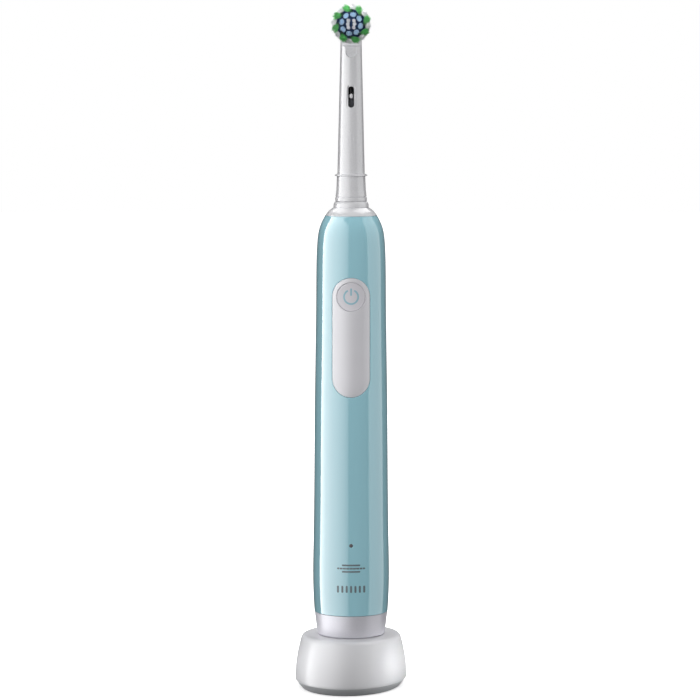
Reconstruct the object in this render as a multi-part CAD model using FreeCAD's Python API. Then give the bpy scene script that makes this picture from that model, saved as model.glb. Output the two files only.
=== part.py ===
"""Electric toothbrush with an oscillating round head, standing on its charger.

Millimetres, +Z up, front of the handle towards -Y. The origin is the middle of the charger's
underside, and the handle, the drive shaft and the neck all stand on the Z axis.
Each function makes one piece, and each piece is written to parts/NAME.step.
"""
import FreeCAD, Part
import math
import os
from FreeCAD import Vector

# ---------------------------------------------------------------- driving dimensions
# charger
plate_h = 3.1                # bevelled base plate
plate_bevel = 2.3            # how far the bevel draws in at the table
shell_h = 16.3               # base plate to deck
base_half_w = 20.5           # half-width of the oval at the table
base_half_d = 25.4           # half-depth of the oval at the table
deck_in_w = 2.3              # how much narrower the deck is, each side
deck_in_d = 5.8              # how much shallower the deck is, each end
deck_round = 1.3             # rounded edge of the deck
shell_wall = 2.0
charger_turn = 14.0          # the charger is turned this many degrees under the handle
post_r = 5.2                 # charging post
post_h = 18.0
post_wall = 1.0
ferrite_r = 2.4
bobbin_wall = 0.45
board_t = 1.2                # charger board
gland_r = 3.4                # rubber inlet for the mains lead
gland_bore_r = 2.0
gland_len = 7.0

# handle body
handle_r = 14.05             # largest radius, low on the body
foot_in = 0.40               # the body's foot is this much smaller
shoulder_in = 1.55           # and its shoulder this much smaller
top_in = 2.85                # the top edge is this much inside the shoulder
body_len = 147.9             # body, from the cap to the nose
body_wall = 1.6
shoulder_h = 10.8            # height of the rounded shoulder
nose_h = 3.0                 # white nose cone
nose_top_r = 7.0
collar_h = 2.4               # collar above the cone
collar_top_r = 6.05
spigot_h = 5.5               # spigot that the brush head sits on
spigot_wall = 0.7
seal_t = 0.7                 # rubber seal between spigot and drive shaft

# bottom cap
cap_h = 8.7
cap_foot_in = 1.05           # the cap's foot is this much inside the body's foot
cap_round = 1.1
cap_wall = 1.5
socket_gap = 0.4             # socket over charging post
socket_wall = 1.1
plug_h = 5.2                 # part of the cap inside the body
ring_section_r = 0.58        # O-ring

# button and light
panel_w = 14.2               # pill-shaped inlay
panel_len = 44.4
panel_drop = 22.2            # body's top edge to the inlay's top
button_r = 5.3
button_travel = 0.4
icon_r = 2.9
icon_line = 0.6
icon_depth = 0.2
light_r = 0.65
light_rise = 26.5            # cap edge to charge light
seam = 0.12                  # visible joint round inlay and button

# chassis, cell and board
frame_gap = 0.3              # chassis inside the body
frame_wall = 1.3
cushion_h = 4.0
motor_gap = 1.1              # motor inside the chassis
cell_in = 1.1                # the cell is this much smaller than the motor
foam_h = 6.4
board_gap = 0.2
handle_board_t = 1.0
switch_h = 1.2
switch_w = 4.6
fit = 0.06                   # running clearance of shafts and pins
push_fit = 0.05              # clearance of parts that stay put

# motor and crank drive
motor_len = 25.5
bell_h = 2.5
can_wall = 0.6
magnet_t = 1.2
air_gap = 0.4
rotor_len = 13.0
motor_shaft_r = 0.75
pinion_teeth = 10
gear_teeth = 20
gear_dir = 135.0             # the crank gear stands back and to the left of the pinion
gear_t = 3.0
gear_room = 0.3              # crank gear inside the chassis
crank_throw = 1.57
crank_pin_r = 0.7
rod_t = 1.8
rod_half_w = 1.3
rocker_reach = 4.6
rocker_t = 2.6
open_pivot_gap = 0.2         # rocker pin above the rod
shaft_r = 2.0
shaft_flat = 1.4             # the D-flat's distance from the axis
shaft_out = 21.6             # drive shaft above the collar

# brush head
seat_gap = 0.05              # brush head above the collar
ring_h = 10.0                # ring with its flange
ring_low_r = 5.83
ring_top_r = 5.25
flange_r = 6.05
flange_t = 0.75
neck_low_r = 5.07
neck_top_r = 3.9
head_reach = 65.0            # collar to the disc's axis
disc_r = 7.0
disc_t = 3.6
disc_back = 2.2              # disc's back in front of the Z axis
tuft_len = 8.0
axle_r = 0.8
ram_r = 1.05
ball_r = 0.6
ball_reach = 3.0             # ball in front of the ram's axis
ball_drop = 2.5              # ball below the disc's axis
window_w = 2.2
window_len = 7.8
window_drop = 26.6           # disc's axis to the middle of the window

# ---------------------------------------------------------------- levels and radii
deck_z = plate_h + shell_h
cap_top = deck_z + cap_h
body_top = cap_top + body_len
nose_top = body_top + nose_h
collar_top = nose_top + collar_h
post_top = deck_z + post_h
spigot_r = shaft_r + seal_t + spigot_wall
socket_r = post_r + socket_gap
socket_top = post_top + 3 * socket_gap
tube_r = socket_r + socket_wall
tube_top = socket_top + socket_wall

foot_r = handle_r - foot_in
shoulder_r = handle_r - shoulder_in
top_r = shoulder_r - top_in
frame_r = shoulder_r - body_wall - frame_gap
frame_in = frame_r - frame_wall
motor_r = frame_in - motor_gap
cell_r = motor_r - cell_in
board_back = -(motor_r + board_gap)
board_face = board_back - handle_board_t
switch_face = board_face - switch_h
board_half_w = math.sqrt((shoulder_r - body_wall) ** 2 - board_face ** 2) - frame_gap

button_z = body_top - panel_drop - panel_w / 2
panel_mid = body_top - panel_drop - panel_len / 2
light_z = cap_top + light_rise

# the drive is stacked down from the top of the body
top_bridge = body_top - shoulder_h - 0.2
top_bridge_t = 4.0
low_bridge_t = 3.0
low_bridge = top_bridge - top_bridge_t - 7.0
rocker_top = low_bridge - low_bridge_t - 1.8
rocker_low = rocker_top - rocker_t
pin_low = rocker_low - 0.4
rod_top = pin_low - open_pivot_gap
rod_low = rod_top - rod_t
gear_top = rod_low - 0.4
gear_low = gear_top - gear_t
plate_t = 1.2
plate_top = gear_low - 0.9
motor_top = plate_top - plate_t
motor_low = motor_top - motor_len
bell_low = motor_low - bell_h
rest_plate_top = bell_low - 0.7
rest_plate_t = 1.5
frame_low = tube_top + 0.1 + cushion_h
cell_low = frame_low + rest_plate_t + 0.8
cell_top = rest_plate_top - rest_plate_t - foam_h - 0.4
cell_back = cell_in          # the cell lies back against the chassis

# gears: the pair fills the room inside the chassis
tip_height = 0.7             # crank gear's addendum, in modules
centre_teeth = (pinion_teeth + gear_teeth) / 2
gear_module = (frame_in - gear_room) / (centre_teeth + gear_teeth / 2 + tip_height)
gear_distance = gear_module * centre_teeth
gear_x = gear_distance * math.cos(math.radians(gear_dir))
gear_y = gear_distance * math.sin(math.radians(gear_dir))
crank_x = gear_x + crank_throw

# brush head
ring_low = collar_top + seat_gap
ring_top = ring_low + ring_h
head_z = collar_top + head_reach
disc_front = -(disc_back + disc_t)
neck_end = head_z + 4.1
neck_flat = disc_back - 0.3  # the neck's end is cut flat behind the disc
ball_z = head_z - ball_drop
shaft_top = collar_top + shaft_out
socket_low = ring_low + spigot_h + 1.5
socket_high = shaft_top + 2.5


# ---------------------------------------------------------------- helpers
def cyl(r, z0, z1, x=0.0, y=0.0):
    return Part.makeCylinder(r, z1 - z0, Vector(x, y, z0))


def tube(outer, inner, z0, z1, x=0.0, y=0.0):
    return cyl(outer, z0, z1, x, y).cut(cyl(inner, z0 - 1, z1 + 1, x, y))


def cyl_y(r, y0, y1, x, z):
    """A cylinder along Y."""
    return Part.makeCylinder(r, y1 - y0, Vector(x, y0, z), Vector(0, 1, 0))


def box(x0, x1, y0, y1, z0, z1):
    return Part.makeBox(x1 - x0, y1 - y0, z1 - z0, Vector(x0, y0, z0))


def cut_all(shape, *tools):
    for tool in tools:
        shape = shape.cut(tool)
    return shape


def join(first, *others):
    for other in others:
        first = first.fuse(other)
    return first.removeSplitter()


def revolve(edges):
    """A solid of revolution about Z from the edges of a closed outline in the XZ plane."""
    face = Part.Face(Part.Wire(Part.__sortEdges__(edges)))
    return face.revolve(Vector(0, 0, 0), Vector(0, 0, 1), 360)


def turned(points):
    """A turned solid from a polygon of (radius, height) corners."""
    corners = [Vector(r, 0, z) for r, z in points]
    return revolve(Part.makePolygon(corners + corners[:1]).Edges)


def turn(shape, degrees, z=0.0):
    shape = shape.copy()
    shape.rotate(Vector(0, 0, z), Vector(0, 0, 1), degrees)
    return shape


def pill(width, length, x, z, y0, y1):
    """A pill-shaped bar along Y, upright, centred on x, z."""
    r = width / 2
    half = length / 2 - r
    middle = box(x - r, x + r, y0, y1, z - half, z + half)
    return join(middle, cyl_y(r, y0, y1, x, z - half), cyl_y(r, y0, y1, x, z + half))


def y_at(radius, x=0.0):
    """The front of a cylinder of this radius, at this x."""
    return -math.sqrt(radius ** 2 - x ** 2)


def oval_wire(half_w, half_d, z):
    """The charger's oval, turned under the handle."""
    if half_d >= half_w:
        oval = Part.Ellipse(Vector(0, half_d, 0), Vector(half_w, 0, 0), Vector(0, 0, 0))
    else:
        oval = Part.Ellipse(Vector(half_w, 0, 0), Vector(0, half_d, 0), Vector(0, 0, 0))
    wire = Part.Wire(oval.toShape())
    wire.rotate(Vector(0, 0, 0), Vector(0, 0, 1), -charger_turn)
    wire.translate(Vector(0, 0, z))
    return wire


def rear_point(distance, z):
    """A point on the charger's own rear line."""
    angle = math.radians(90 - charger_turn)
    return Vector(distance * math.cos(angle), distance * math.sin(angle), z)


# ---------------------------------------------------------------- charger
def flank(inset, z_low, z_high, steps=6):
    """The shell's flank: upright at the table and drawing in towards the deck."""
    wires = []
    for i in range(steps + 1):
        z = z_low + (z_high - z_low) * i / steps
        share = ((z - plate_h) / shell_h) ** 2
        half_w = base_half_w - deck_in_w * share - inset
        half_d = base_half_d - deck_in_d * share - inset
        wires.append(oval_wire(half_w, half_d, z))
    return Part.makeLoft(wires, True, False)


gland_z = plate_h + gland_r + 1.0


def gland_rod(radius, start, end):
    direction = rear_point(1, 0)
    return Part.makeCylinder(radius, end - start, rear_point(start, gland_z), direction)


def charger_shell():
    outer = flank(0, plate_h, deck_z)
    rim = [e for e in outer.Edges if min(v.Z for v in e.Vertexes) > deck_z - 0.01]
    outer = outer.makeFillet(deck_round, rim)
    inner = flank(shell_wall, plate_h, deck_z - shell_wall)
    shell = outer.cut(inner)
    post = cyl(post_r, deck_z - shell_wall / 2, post_top)
    top_edge = [e for e in post.Edges if e.BoundBox.ZMin > post_top - 0.01]
    post = post.makeFillet(0.6, top_edge)
    shell = join(shell, post)
    bore = cyl(post_r - post_wall, plate_h, post_top - post_wall)
    return cut_all(shell, bore, gland_rod(gland_r - 0.8 + push_fit, base_half_d / 2, base_half_d + 5))


def charger_base_plate():
    low = oval_wire(base_half_w - plate_bevel, base_half_d - plate_bevel, 0)
    high = oval_wire(base_half_w, base_half_d, plate_h)
    bevel = Part.makeLoft([low, high], True, True)
    inset = shell_wall + push_fit
    lip = flank(inset, plate_h, plate_h + 1.6, 2)
    lip = lip.cut(flank(inset + 1.4, plate_h, plate_h + 1.6, 2))
    notch = gland_rod(gland_r + push_fit, base_half_d / 2, base_half_d)
    boss = tube(ferrite_r + 1.4, ferrite_r + push_fit, plate_h, plate_h + 2.4)
    pocket = cyl(ferrite_r + push_fit, plate_h - 0.6, plate_h + 1)
    return join(bevel, lip.cut(notch), boss).cut(pocket)


core_low = plate_h - 0.6
core_high = post_top - post_wall - 0.8
charger_board_low = plate_h + 2.6


def primary_ferrite_core():
    return cyl(ferrite_r, core_low, core_high)


bobbin_bore = ferrite_r + push_fit
bobbin_r = bobbin_bore + bobbin_wall
flange_out = post_r - post_wall - 0.2
coil_low = deck_z + 1.5
coil_high = core_high - 0.8


def coil_bobbin():
    stem = cyl(bobbin_r, charger_board_low + board_t, coil_high + 0.5)
    flanges = [cyl(flange_out, coil_low - 0.5, coil_low), cyl(flange_out, coil_high, coil_high + 0.5)]
    return join(stem, *flanges).cut(cyl(bobbin_bore, 0, post_top))


def primary_coil():
    return tube(flange_out - 0.15, bobbin_r + 0.03, coil_low, coil_high)


def charger_board():
    half_w = base_half_w - deck_in_w - shell_wall - 2.5
    half_d = base_half_d - deck_in_d - shell_wall - 2.5
    plate = Part.Face(oval_wire(half_w, half_d, charger_board_low)).extrude(Vector(0, 0, board_t))
    return plate.cut(cyl(bobbin_bore, 0, deck_z))


def charger_components():
    """Capacitors as upright cans, the switching transistor and the resistors as blocks."""
    low = charger_board_low + board_t
    cans = [cyl(2.6, low, low + 7.5, -7.0, -6.5), cyl(2.2, low, low + 6.5, 7.2, -6.0)]
    blocks = [box(-9.0, -5.5, 1.5, 6.0, low, low + 2.4), box(5.0, 9.0, 2.5, 5.0, low, low + 4.0)]
    blocks.append(box(-3.0, 0.5, -11.5, -9.0, low, low + 1.8))
    return turn(Part.makeCompound(cans + blocks), -charger_turn)


def cord_gland():
    """Waisted rubber bush, clipped in the wall, with its outer end inside the oval."""
    end = base_half_d - 0.3
    inner = gland_rod(gland_r, end - gland_len, end - shell_wall - 1.2)
    waist = gland_rod(gland_r - 0.8, end - gland_len, end)
    return join(inner, waist).cut(gland_rod(gland_bore_r, 0, base_half_d + 5))


# ---------------------------------------------------------------- handle body
def body_outline(inset):
    """Radius and height along the body's side, from its foot to its top edge."""
    low = cap_top
    shoulder = body_top - shoulder_h
    run = shoulder - low
    mid_r = (handle_r + shoulder_r) / 2 + 0.24
    points = [(foot_r, low), (handle_r, low + run * 0.054), (handle_r - 0.08, low + run * 0.2)]
    points += [(mid_r, low + run * 0.52), (shoulder_r + 0.36, low + run * 0.88), (shoulder_r, shoulder)]
    points += [(shoulder_r - top_in * 0.16, shoulder + shoulder_h * 0.41)]
    points += [(shoulder_r - top_in * 0.5, shoulder + shoulder_h * 0.73), (top_r, body_top)]
    return [Vector(r - inset, 0, z) for r, z in points]


def body_solid(inset):
    """The body's shape as a solid, its surface drawn in by the inset."""
    side = Part.BSplineCurve()
    side.interpolate(body_outline(inset))
    low = Vector(foot_r - inset, 0, cap_top)
    high = Vector(top_r - inset, 0, body_top)
    axis_low = Vector(0, 0, cap_top)
    axis_high = Vector(0, 0, body_top)
    edges = [side.toShape(), Part.makeLine(high, axis_high), Part.makeLine(axis_high, axis_low)]
    edges.append(Part.makeLine(axis_low, low))
    return revolve(edges)


panel_cut = pill(panel_w, panel_len, 0, panel_mid, -handle_r - 1, -shoulder_r / 2)
seal_r = foot_r - body_wall  # bore that the cap's O-ring seals on


def handle_housing():
    shell = body_solid(0).cut(body_solid(body_wall))
    shell = shell.cut(cyl(seal_r, cap_top - 1, cap_top + plug_h + 1))
    light_hole = cyl_y(light_r + push_fit, -handle_r - 1, 0, 0, light_z)
    return cut_all(shell, panel_cut, light_hole)


def button_panel():
    skin = body_solid(0).cut(body_solid(body_wall))
    blank = pill(panel_w - 2 * seam, panel_len - 2 * seam, 0, panel_mid, -handle_r - 1, -shoulder_r / 2)
    hole = cyl_y(button_r + seam, -handle_r - 1, 0, 0, button_z)
    return skin.common(blank).cut(hole)


def icon_outline():
    """The power symbol: a ring that is open at the top, with an upright bar in the gap."""
    front = -handle_r - 1
    ring = cyl_y(icon_r, front, 0, 0, button_z).cut(cyl_y(icon_r - icon_line, front, 0, 0, button_z))
    gap = box(-icon_line * 1.6, icon_line * 1.6, front, 0, button_z, button_z + icon_r + 1)
    bar = box(-icon_line / 2, icon_line / 2, front, 0, button_z + 0.4, button_z + icon_r + 0.3)
    return Part.makeCompound([ring.cut(gap), bar])


def button_icon():
    skin = body_solid(0).cut(body_solid(icon_depth))
    return Part.makeCompound([skin.common(solid) for solid in icon_outline().Solids])


plunger_out = switch_face - 0.5


def power_button():
    skin = body_solid(0).cut(body_solid(body_wall - 0.3))
    cap = skin.common(cyl_y(button_r, -handle_r - 1, 0, 0, button_z))
    stem = cyl_y(1.5, y_at(handle_r - body_wall), plunger_out - 0.02, 0, button_z)
    return join(cap, stem).cut(button_icon())


def charge_light():
    pipe = cyl_y(light_r, -handle_r - 1, board_face - 1.1, 0, light_z)
    return pipe.common(body_solid(0))


seal_bore = shaft_r + fit
seal_seat_r = spigot_r - spigot_wall
nose_low = body_top - 4.0


def nose_collar():
    """Nose cone and collar with the spigot above and the part that plugs into the body below."""
    plug_r = top_r - body_wall - push_fit
    cone = [Vector(top_r, 0, body_top), Vector((top_r + nose_top_r) / 2 + 0.35, 0, body_top + nose_h * 0.55)]
    cone.append(Vector(nose_top_r, 0, nose_top))
    collar = [Vector(nose_top_r, 0, nose_top)]
    collar.append(Vector((nose_top_r + collar_top_r) / 2 + 0.1, 0, nose_top + collar_h * 0.5))
    collar.append(Vector(collar_top_r, 0, collar_top))
    corners = [(collar_top_r, collar_top), (spigot_r, collar_top), (spigot_r, collar_top + spigot_h), (0, 0)]
    corners[3] = (0, collar_top + spigot_h)
    corners += [(0, nose_low), (plug_r, nose_low), (plug_r, body_top), (top_r, body_top)]
    line = [Vector(r, 0, z) for r, z in corners]
    edges = [Part.Arc(*cone).toShape(), Part.Arc(*collar).toShape()] + Part.makePolygon(line).Edges
    seat = cyl(seal_seat_r, collar_top - 1, collar_top + spigot_h + 1)
    return cut_all(revolve(edges), cyl(shaft_r + 0.3, nose_low - 1, collar_top + 1), seat)


def shaft_seal():
    """Lip seal: a sleeve in the spigot with a thin lip round the shaft."""
    z0 = collar_top - 1
    z1 = collar_top + spigot_h
    body = tube(seal_seat_r - push_fit, shaft_r + 0.25, z0, z1)
    lip = tube(shaft_r + 0.4, seal_bore, z1 - 1.2, z1)
    return join(body, lip)


cap_spigot_r = seal_r - push_fit
ring_z = cap_top + plug_h * 0.45


def bottom_cap():
    """Silver cap: rounded foot, plug with the O-ring groove, and the blind socket for the post."""
    low_r = foot_r - cap_foot_in
    side = [(low_r - cap_round, deck_z), (low_r, deck_z + cap_round), (foot_r, cap_top)]
    plug = [(cap_spigot_r, cap_top), (cap_spigot_r, cap_top + plug_h)]
    inner = cap_spigot_r - cap_wall
    floor = deck_z + 2.2
    hollow = [(inner, cap_top + plug_h), (inner, floor), (tube_r, floor), (tube_r, tube_top), (0, tube_top)]
    socket = [(0, socket_top), (socket_r, socket_top), (socket_r, deck_z)]
    cap = turned(side + plug + hollow + socket)
    foot = [e for e in cap.Edges if e.BoundBox.ZMax < deck_z + cap_round + 0.01]
    foot = [e for e in foot if e.BoundBox.ZMin > deck_z + cap_round - 0.01]
    cap = cap.makeFillet(cap_round, foot)
    groove = tube(seal_r + 1, seal_r - 2 * ring_section_r - 0.05, ring_z - 0.75, ring_z + 0.75)
    return cap.cut(groove)


def cap_o_ring():
    return Part.makeTorus(seal_r - ring_section_r - 0.02, ring_section_r, Vector(0, 0, ring_z))


carrier_low = deck_z + 2.3
carrier_r = cap_spigot_r - cap_wall - 0.4
carrier_high = tube_top - 1.6


def coil_carrier():
    stem = cyl(tube_r + 0.5, carrier_low, carrier_high)
    flanges = [cyl(carrier_r, carrier_low, carrier_low + 0.8), cyl(carrier_r, carrier_high - 0.8, carrier_high)]
    return join(stem, *flanges).cut(cyl(tube_r + push_fit, deck_z, body_top))


def pickup_coil():
    return tube(carrier_r - 0.4, tube_r + 0.53, carrier_low + 0.82, carrier_high - 0.82)


# ---------------------------------------------------------------- chassis and electronics
def frame_cushion():
    return cyl(frame_r - 0.6, tube_top + 0.05, frame_low - 0.05)


def plate(z_high, thickness):
    """A plate across the chassis, cut back in front for the board."""
    disc = cyl(frame_r - 0.2, z_high - thickness, z_high)
    return disc.cut(box(-frame_r, frame_r, -frame_r, board_back + 0.1, frame_low - 1, body_top))


def drive_frame():
    back = tube(frame_r, frame_in, frame_low, top_bridge)
    back = back.cut(box(-frame_r, frame_r, -frame_r, 2.0, frame_low - 1, body_top))
    plates = [plate(frame_low + rest_plate_t, rest_plate_t), plate(rest_plate_top, rest_plate_t)]
    plates += [plate(plate_top, plate_t), plate(low_bridge, low_bridge_t), plate(top_bridge, top_bridge_t)]
    frame = join(back, *plates)
    holes = [cyl(2.9, motor_top - 1, plate_top + 1), cyl(bearing_r + push_fit, rocker_top, body_top)]
    holes.append(cyl(axle_pin_r, motor_top - 1, plate_top + 1, gear_x, gear_y))
    holes += [cyl(0.85, motor_top - 1, plate_top + 1, x, y) for x, y in screw_places]
    return cut_all(frame, *holes)


def battery_cell():
    """Steel can with a rolled shoulder and the positive button on top."""
    can = cyl(cell_r, cell_low, cell_top - 0.9, 0, cell_back)
    rim = [e for e in can.Edges if e.BoundBox.ZMin > cell_top - 1.0]
    can = can.makeFillet(0.7, rim)
    return join(can, cyl(2.6, cell_top - 0.9, cell_top, 0, cell_back))


def battery_tabs():
    """Welded nickel strips under and over the cell, bent forward to the board."""
    front = board_back + 0.15
    low = box(-2.0, 2.0, front, cell_back, cell_low - 0.3, cell_low)
    high = box(-2.0, 2.0, front, cell_back, cell_top, cell_top + 0.3)
    return Part.makeCompound([low, high])


def foam_pad():
    low = cell_top + 0.35
    return cyl(cell_r - 0.3, low, rest_plate_top - rest_plate_t - 0.05, 0, cell_back)


board_low = frame_low + 1.0
board_high = top_bridge - 7.0


def circuit_board():
    return box(-board_half_w, board_half_w, board_face, board_back, board_low, board_high)


def board_components():
    """Controller, memory, coils and capacitors on the board's front, in a column below the switch."""
    room = button_z - switch_w - light_z - 8.0
    sizes = [(4.6, 4.6, 1.0), (3.2, 3.0, 0.9), (5.0, 5.0, 1.3), (2.4, 3.6, 0.8), (3.0, 1.6, 0.7), (1.6, 3.0, 0.7)]
    solids = []
    for i, (width, height, depth) in enumerate(sizes):
        z = light_z + 5.0 + room * (i + 0.5) / len(sizes)
        x = -1.4 if i % 2 else 1.2
        solids.append(box(x - width / 2, x + width / 2, board_face - depth, board_face, z, z + height))
    return Part.makeCompound(solids)


def led():
    return box(-0.8, 0.8, board_face - 1.0, board_face, light_z - 0.8, light_z + 0.8)


def tact_switch():
    half = switch_w / 2
    case = box(-half, half, switch_face, board_face, button_z - half, button_z + half)
    return case.cut(cyl_y(0.9 + fit, switch_face - 1, board_face - 0.1, 0, button_z))


def switch_plunger():
    return cyl_y(0.9, plunger_out, board_face - 0.15 - button_travel, 0, button_z)


# ---------------------------------------------------------------- motor
magnet_r = motor_r - can_wall - push_fit
rotor_r = magnet_r - magnet_t - air_gap
magnet_low = motor_low + 4.0
rotor_mid = magnet_low + 8.5
rotor_low = rotor_mid - rotor_len / 2
rotor_high = rotor_mid + rotor_len / 2
bush_r = 1.9


def motor_can():
    can = cyl(motor_r, motor_low, motor_top)
    rim = [e for e in can.Edges if e.BoundBox.ZMin > motor_top - 0.01]
    can = can.makeFillet(0.5, rim)
    can = can.cut(cyl(motor_r - can_wall, motor_low - 1, motor_top - can_wall))
    return can.cut(cyl(bush_r + push_fit, motor_top - 2, motor_top + 1))


def motor_end_bell():
    bell = join(cyl(motor_r - 0.1, bell_low, motor_low), cyl(motor_r - can_wall - push_fit, motor_low, motor_low + 1.0))
    bell = bell.cut(cyl(motor_r - 2.0, motor_low - 1.0, motor_low + 2))
    return bell.cut(cyl(bush_r + push_fit, bell_low - 1, motor_low))


def motor_bushings():
    low = tube(bush_r, motor_shaft_r + fit, bell_low, motor_low - 0.6)
    high = tube(bush_r, motor_shaft_r + fit, motor_top - 1.8, motor_top + 0.7)
    return Part.makeCompound([low, high])


def motor_magnets():
    """Two arcs, one each side of the rotor."""
    ring = tube(magnet_r, magnet_r - magnet_t, magnet_low, magnet_low + 17.0)
    gap = 2.2
    arcs = ring.cut(box(-gap, gap, -motor_r, motor_r, motor_low, motor_top))
    return Part.makeCompound(arcs.Solids)


def motor_brushes():
    """A carbon brush on a strip, each side of the commutator."""
    z = motor_low + 1.6
    out = motor_r - 2.1
    solids = [box(1.9, out, -0.8, 0.8, z, z + 1.6), box(-out, -1.9, -0.8, 0.8, z, z + 1.6)]
    return Part.makeCompound(solids)


screw_places = [((motor_r - 3.4) * math.cos(math.radians(a)), (motor_r - 3.4) * math.sin(math.radians(a)))
                for a in (-30, -150)]


def motor_screws():
    """Two pan-head screws with a cross recess, down through the plate into the can's top."""
    solids = []
    for x, y in screw_places:
        head = cyl(1.35, plate_top, plate_top + 0.75, x, y)
        shank = cyl(0.8, motor_top, plate_top, x, y)
        slots = [box(x - 0.8, x + 0.8, y - 0.15, y + 0.15, plate_top + 0.35, plate_top + 1)]
        slots.append(box(x - 0.15, x + 0.15, y - 0.8, y + 0.8, plate_top + 0.35, plate_top + 1))
        solids.append(cut_all(join(head, shank), *slots))
    return Part.makeCompound(solids)


def motor_shaft():
    return cyl(motor_shaft_r, bell_low + 0.2, gear_top)


def rotor_core():
    """Laminated core with three poles."""
    core = tube(rotor_r, motor_shaft_r, rotor_low, rotor_high)
    for k in range(3):
        slot = join(cyl(1.5, rotor_low - 1, rotor_high + 1, rotor_r - 2.3),
                    box(rotor_r - 2.3, rotor_r + 1, -0.4, 0.4, rotor_low - 1, rotor_high + 1))
        core = core.cut(turn(slot, 120 * k + 60))
    return core


def rotor_windings():
    """A bundle of copper in each slot, standing out over both ends of the core."""
    bundle = cyl(1.4, rotor_low - 1.0, rotor_high + 1.0, rotor_r - 2.3)
    return Part.makeCompound([turn(bundle, 120 * k + 60) for k in range(3)])


def commutator():
    body = tube(1.8, motor_shaft_r, motor_low + 0.4, motor_low + 3.6)
    slots = [turn(box(1.4, 2.5, -0.12, 0.12, motor_low, motor_low + 3.0), 120 * k) for k in range(3)]
    return cut_all(body, *slots)


# ---------------------------------------------------------------- crank drive
def involute_gear(teeth, tip, bore_r, z0, z1, x, y, facing, tooth_there):
    """A spur gear with involute flanks. A tooth, or a gap, points in the facing direction."""
    pressure = math.radians(20)
    pitch_r = gear_module * teeth / 2
    base_r = pitch_r * math.cos(pressure)
    tip_r = pitch_r + gear_module * tip
    root_r = pitch_r - gear_module * 1.25
    backlash = 0.05
    half_tooth = math.pi / (2 * teeth) - backlash / (2 * pitch_r)
    inv_pitch = math.tan(pressure) - pressure
    flank_low = max(base_r, root_r)
    steps = 5
    flank = []
    if root_r < base_r:
        flank.append((root_r, half_tooth + inv_pitch))
    for i in range(steps):
        r = flank_low + (tip_r - flank_low) * i / (steps - 1)
        angle = math.acos(min(1.0, base_r / r))
        flank.append((r, half_tooth + inv_pitch - (math.tan(angle) - angle)))
    shift = 0 if tooth_there else math.pi / teeth
    corners = []
    for k in range(teeth):
        middle = math.radians(facing) + shift + 2 * math.pi * k / teeth
        side = [(r, middle - a) for r, a in flank] + [(r, middle + a) for r, a in reversed(flank)]
        corners += [Vector(x + r * math.cos(a), y + r * math.sin(a), z0) for r, a in side]
    face = Part.Face(Part.makePolygon(corners + corners[:1]))
    return face.extrude(Vector(0, 0, z1 - z0)).cut(cyl(bore_r, z0 - 1, z1 + 1, x, y))


axle_pin_r = 0.6


def pinion():
    return involute_gear(pinion_teeth, 1.0, motor_shaft_r, gear_low - 0.2, gear_top, 0, 0, gear_dir, True)


def crank_gear():
    bore = axle_pin_r + fit
    return involute_gear(gear_teeth, tip_height, bore, gear_low, gear_top, gear_x, gear_y, gear_dir + 180, False)


def gear_axle():
    return cyl(axle_pin_r, motor_top, gear_top - 0.1, gear_x, gear_y)


def eccentric_pin():
    """Shouldered pin on the gear's face."""
    shoulder = cyl(crank_pin_r + 0.35, gear_top, rod_low - 0.1, crank_x, gear_y)
    return join(shoulder, cyl(crank_pin_r, gear_top, rod_top, crank_x, gear_y))


def connecting_rod():
    """Flat link between the eccentric pin and the rocker arm's pin."""
    dx = -rocker_reach - crank_x
    dy = -gear_y
    length = math.hypot(dx, dy)
    half = rod_half_w * 0.75
    web = box(0, length, -half, half, rod_low, rod_top)
    eyes = [cyl(rod_half_w, rod_low, rod_top), cyl(rod_half_w, rod_low, rod_top, length)]
    bores = [cyl(crank_pin_r + fit, rod_low - 1, rod_top + 1), cyl(crank_pin_r + fit, rod_low - 1, rod_top + 1, length)]
    rod = cut_all(join(web, *eyes), *bores)
    rod = turn(rod, math.degrees(math.atan2(dy, dx)))
    rod.translate(Vector(crank_x, gear_y, 0))
    return rod


def rocker_arm():
    hub = cyl(shaft_r + 1.4, rocker_low, rocker_top)
    arm = box(-rocker_reach, 0, -1.3, 1.3, rocker_low, rocker_top)
    end = cyl(1.3, rocker_low, rocker_top, -rocker_reach)
    arm = join(hub, arm, end).cut(cyl(shaft_r, rocker_low - 1, rocker_top + 1))
    return arm.cut(cyl(crank_pin_r, rocker_low - 1, rocker_top + 1, -rocker_reach))


def rocker_pin():
    return cyl(crank_pin_r, pin_low, rocker_top, -rocker_reach)


def drive_shaft():
    shaft = cyl(shaft_r, rocker_low, shaft_top)
    tip = [e for e in shaft.Edges if e.BoundBox.ZMin > shaft_top - 0.01]
    shaft = shaft.makeChamfer(0.4, tip)
    return shaft.cut(box(-3, 3, shaft_flat, 3, socket_low - 1.0, shaft_top + 1))


bearing_r = shaft_r + 1.5


def lower_bearing():
    return tube(bearing_r, shaft_r + fit, low_bridge - low_bridge_t, low_bridge + 0.6)


def upper_bearing():
    return tube(bearing_r, shaft_r + fit, top_bridge - top_bridge_t, top_bridge + 0.6)


# ---------------------------------------------------------------- brush head
def neck_outline():
    """Radius and height up the neck, from the ring to its end."""
    low = ring_top - flange_t
    high = head_z - 7.0
    return [Vector(neck_low_r, 0, low), Vector((neck_low_r + neck_top_r) / 2, 0, (low + high) / 2),
            Vector(neck_top_r, 0, high)]


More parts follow.
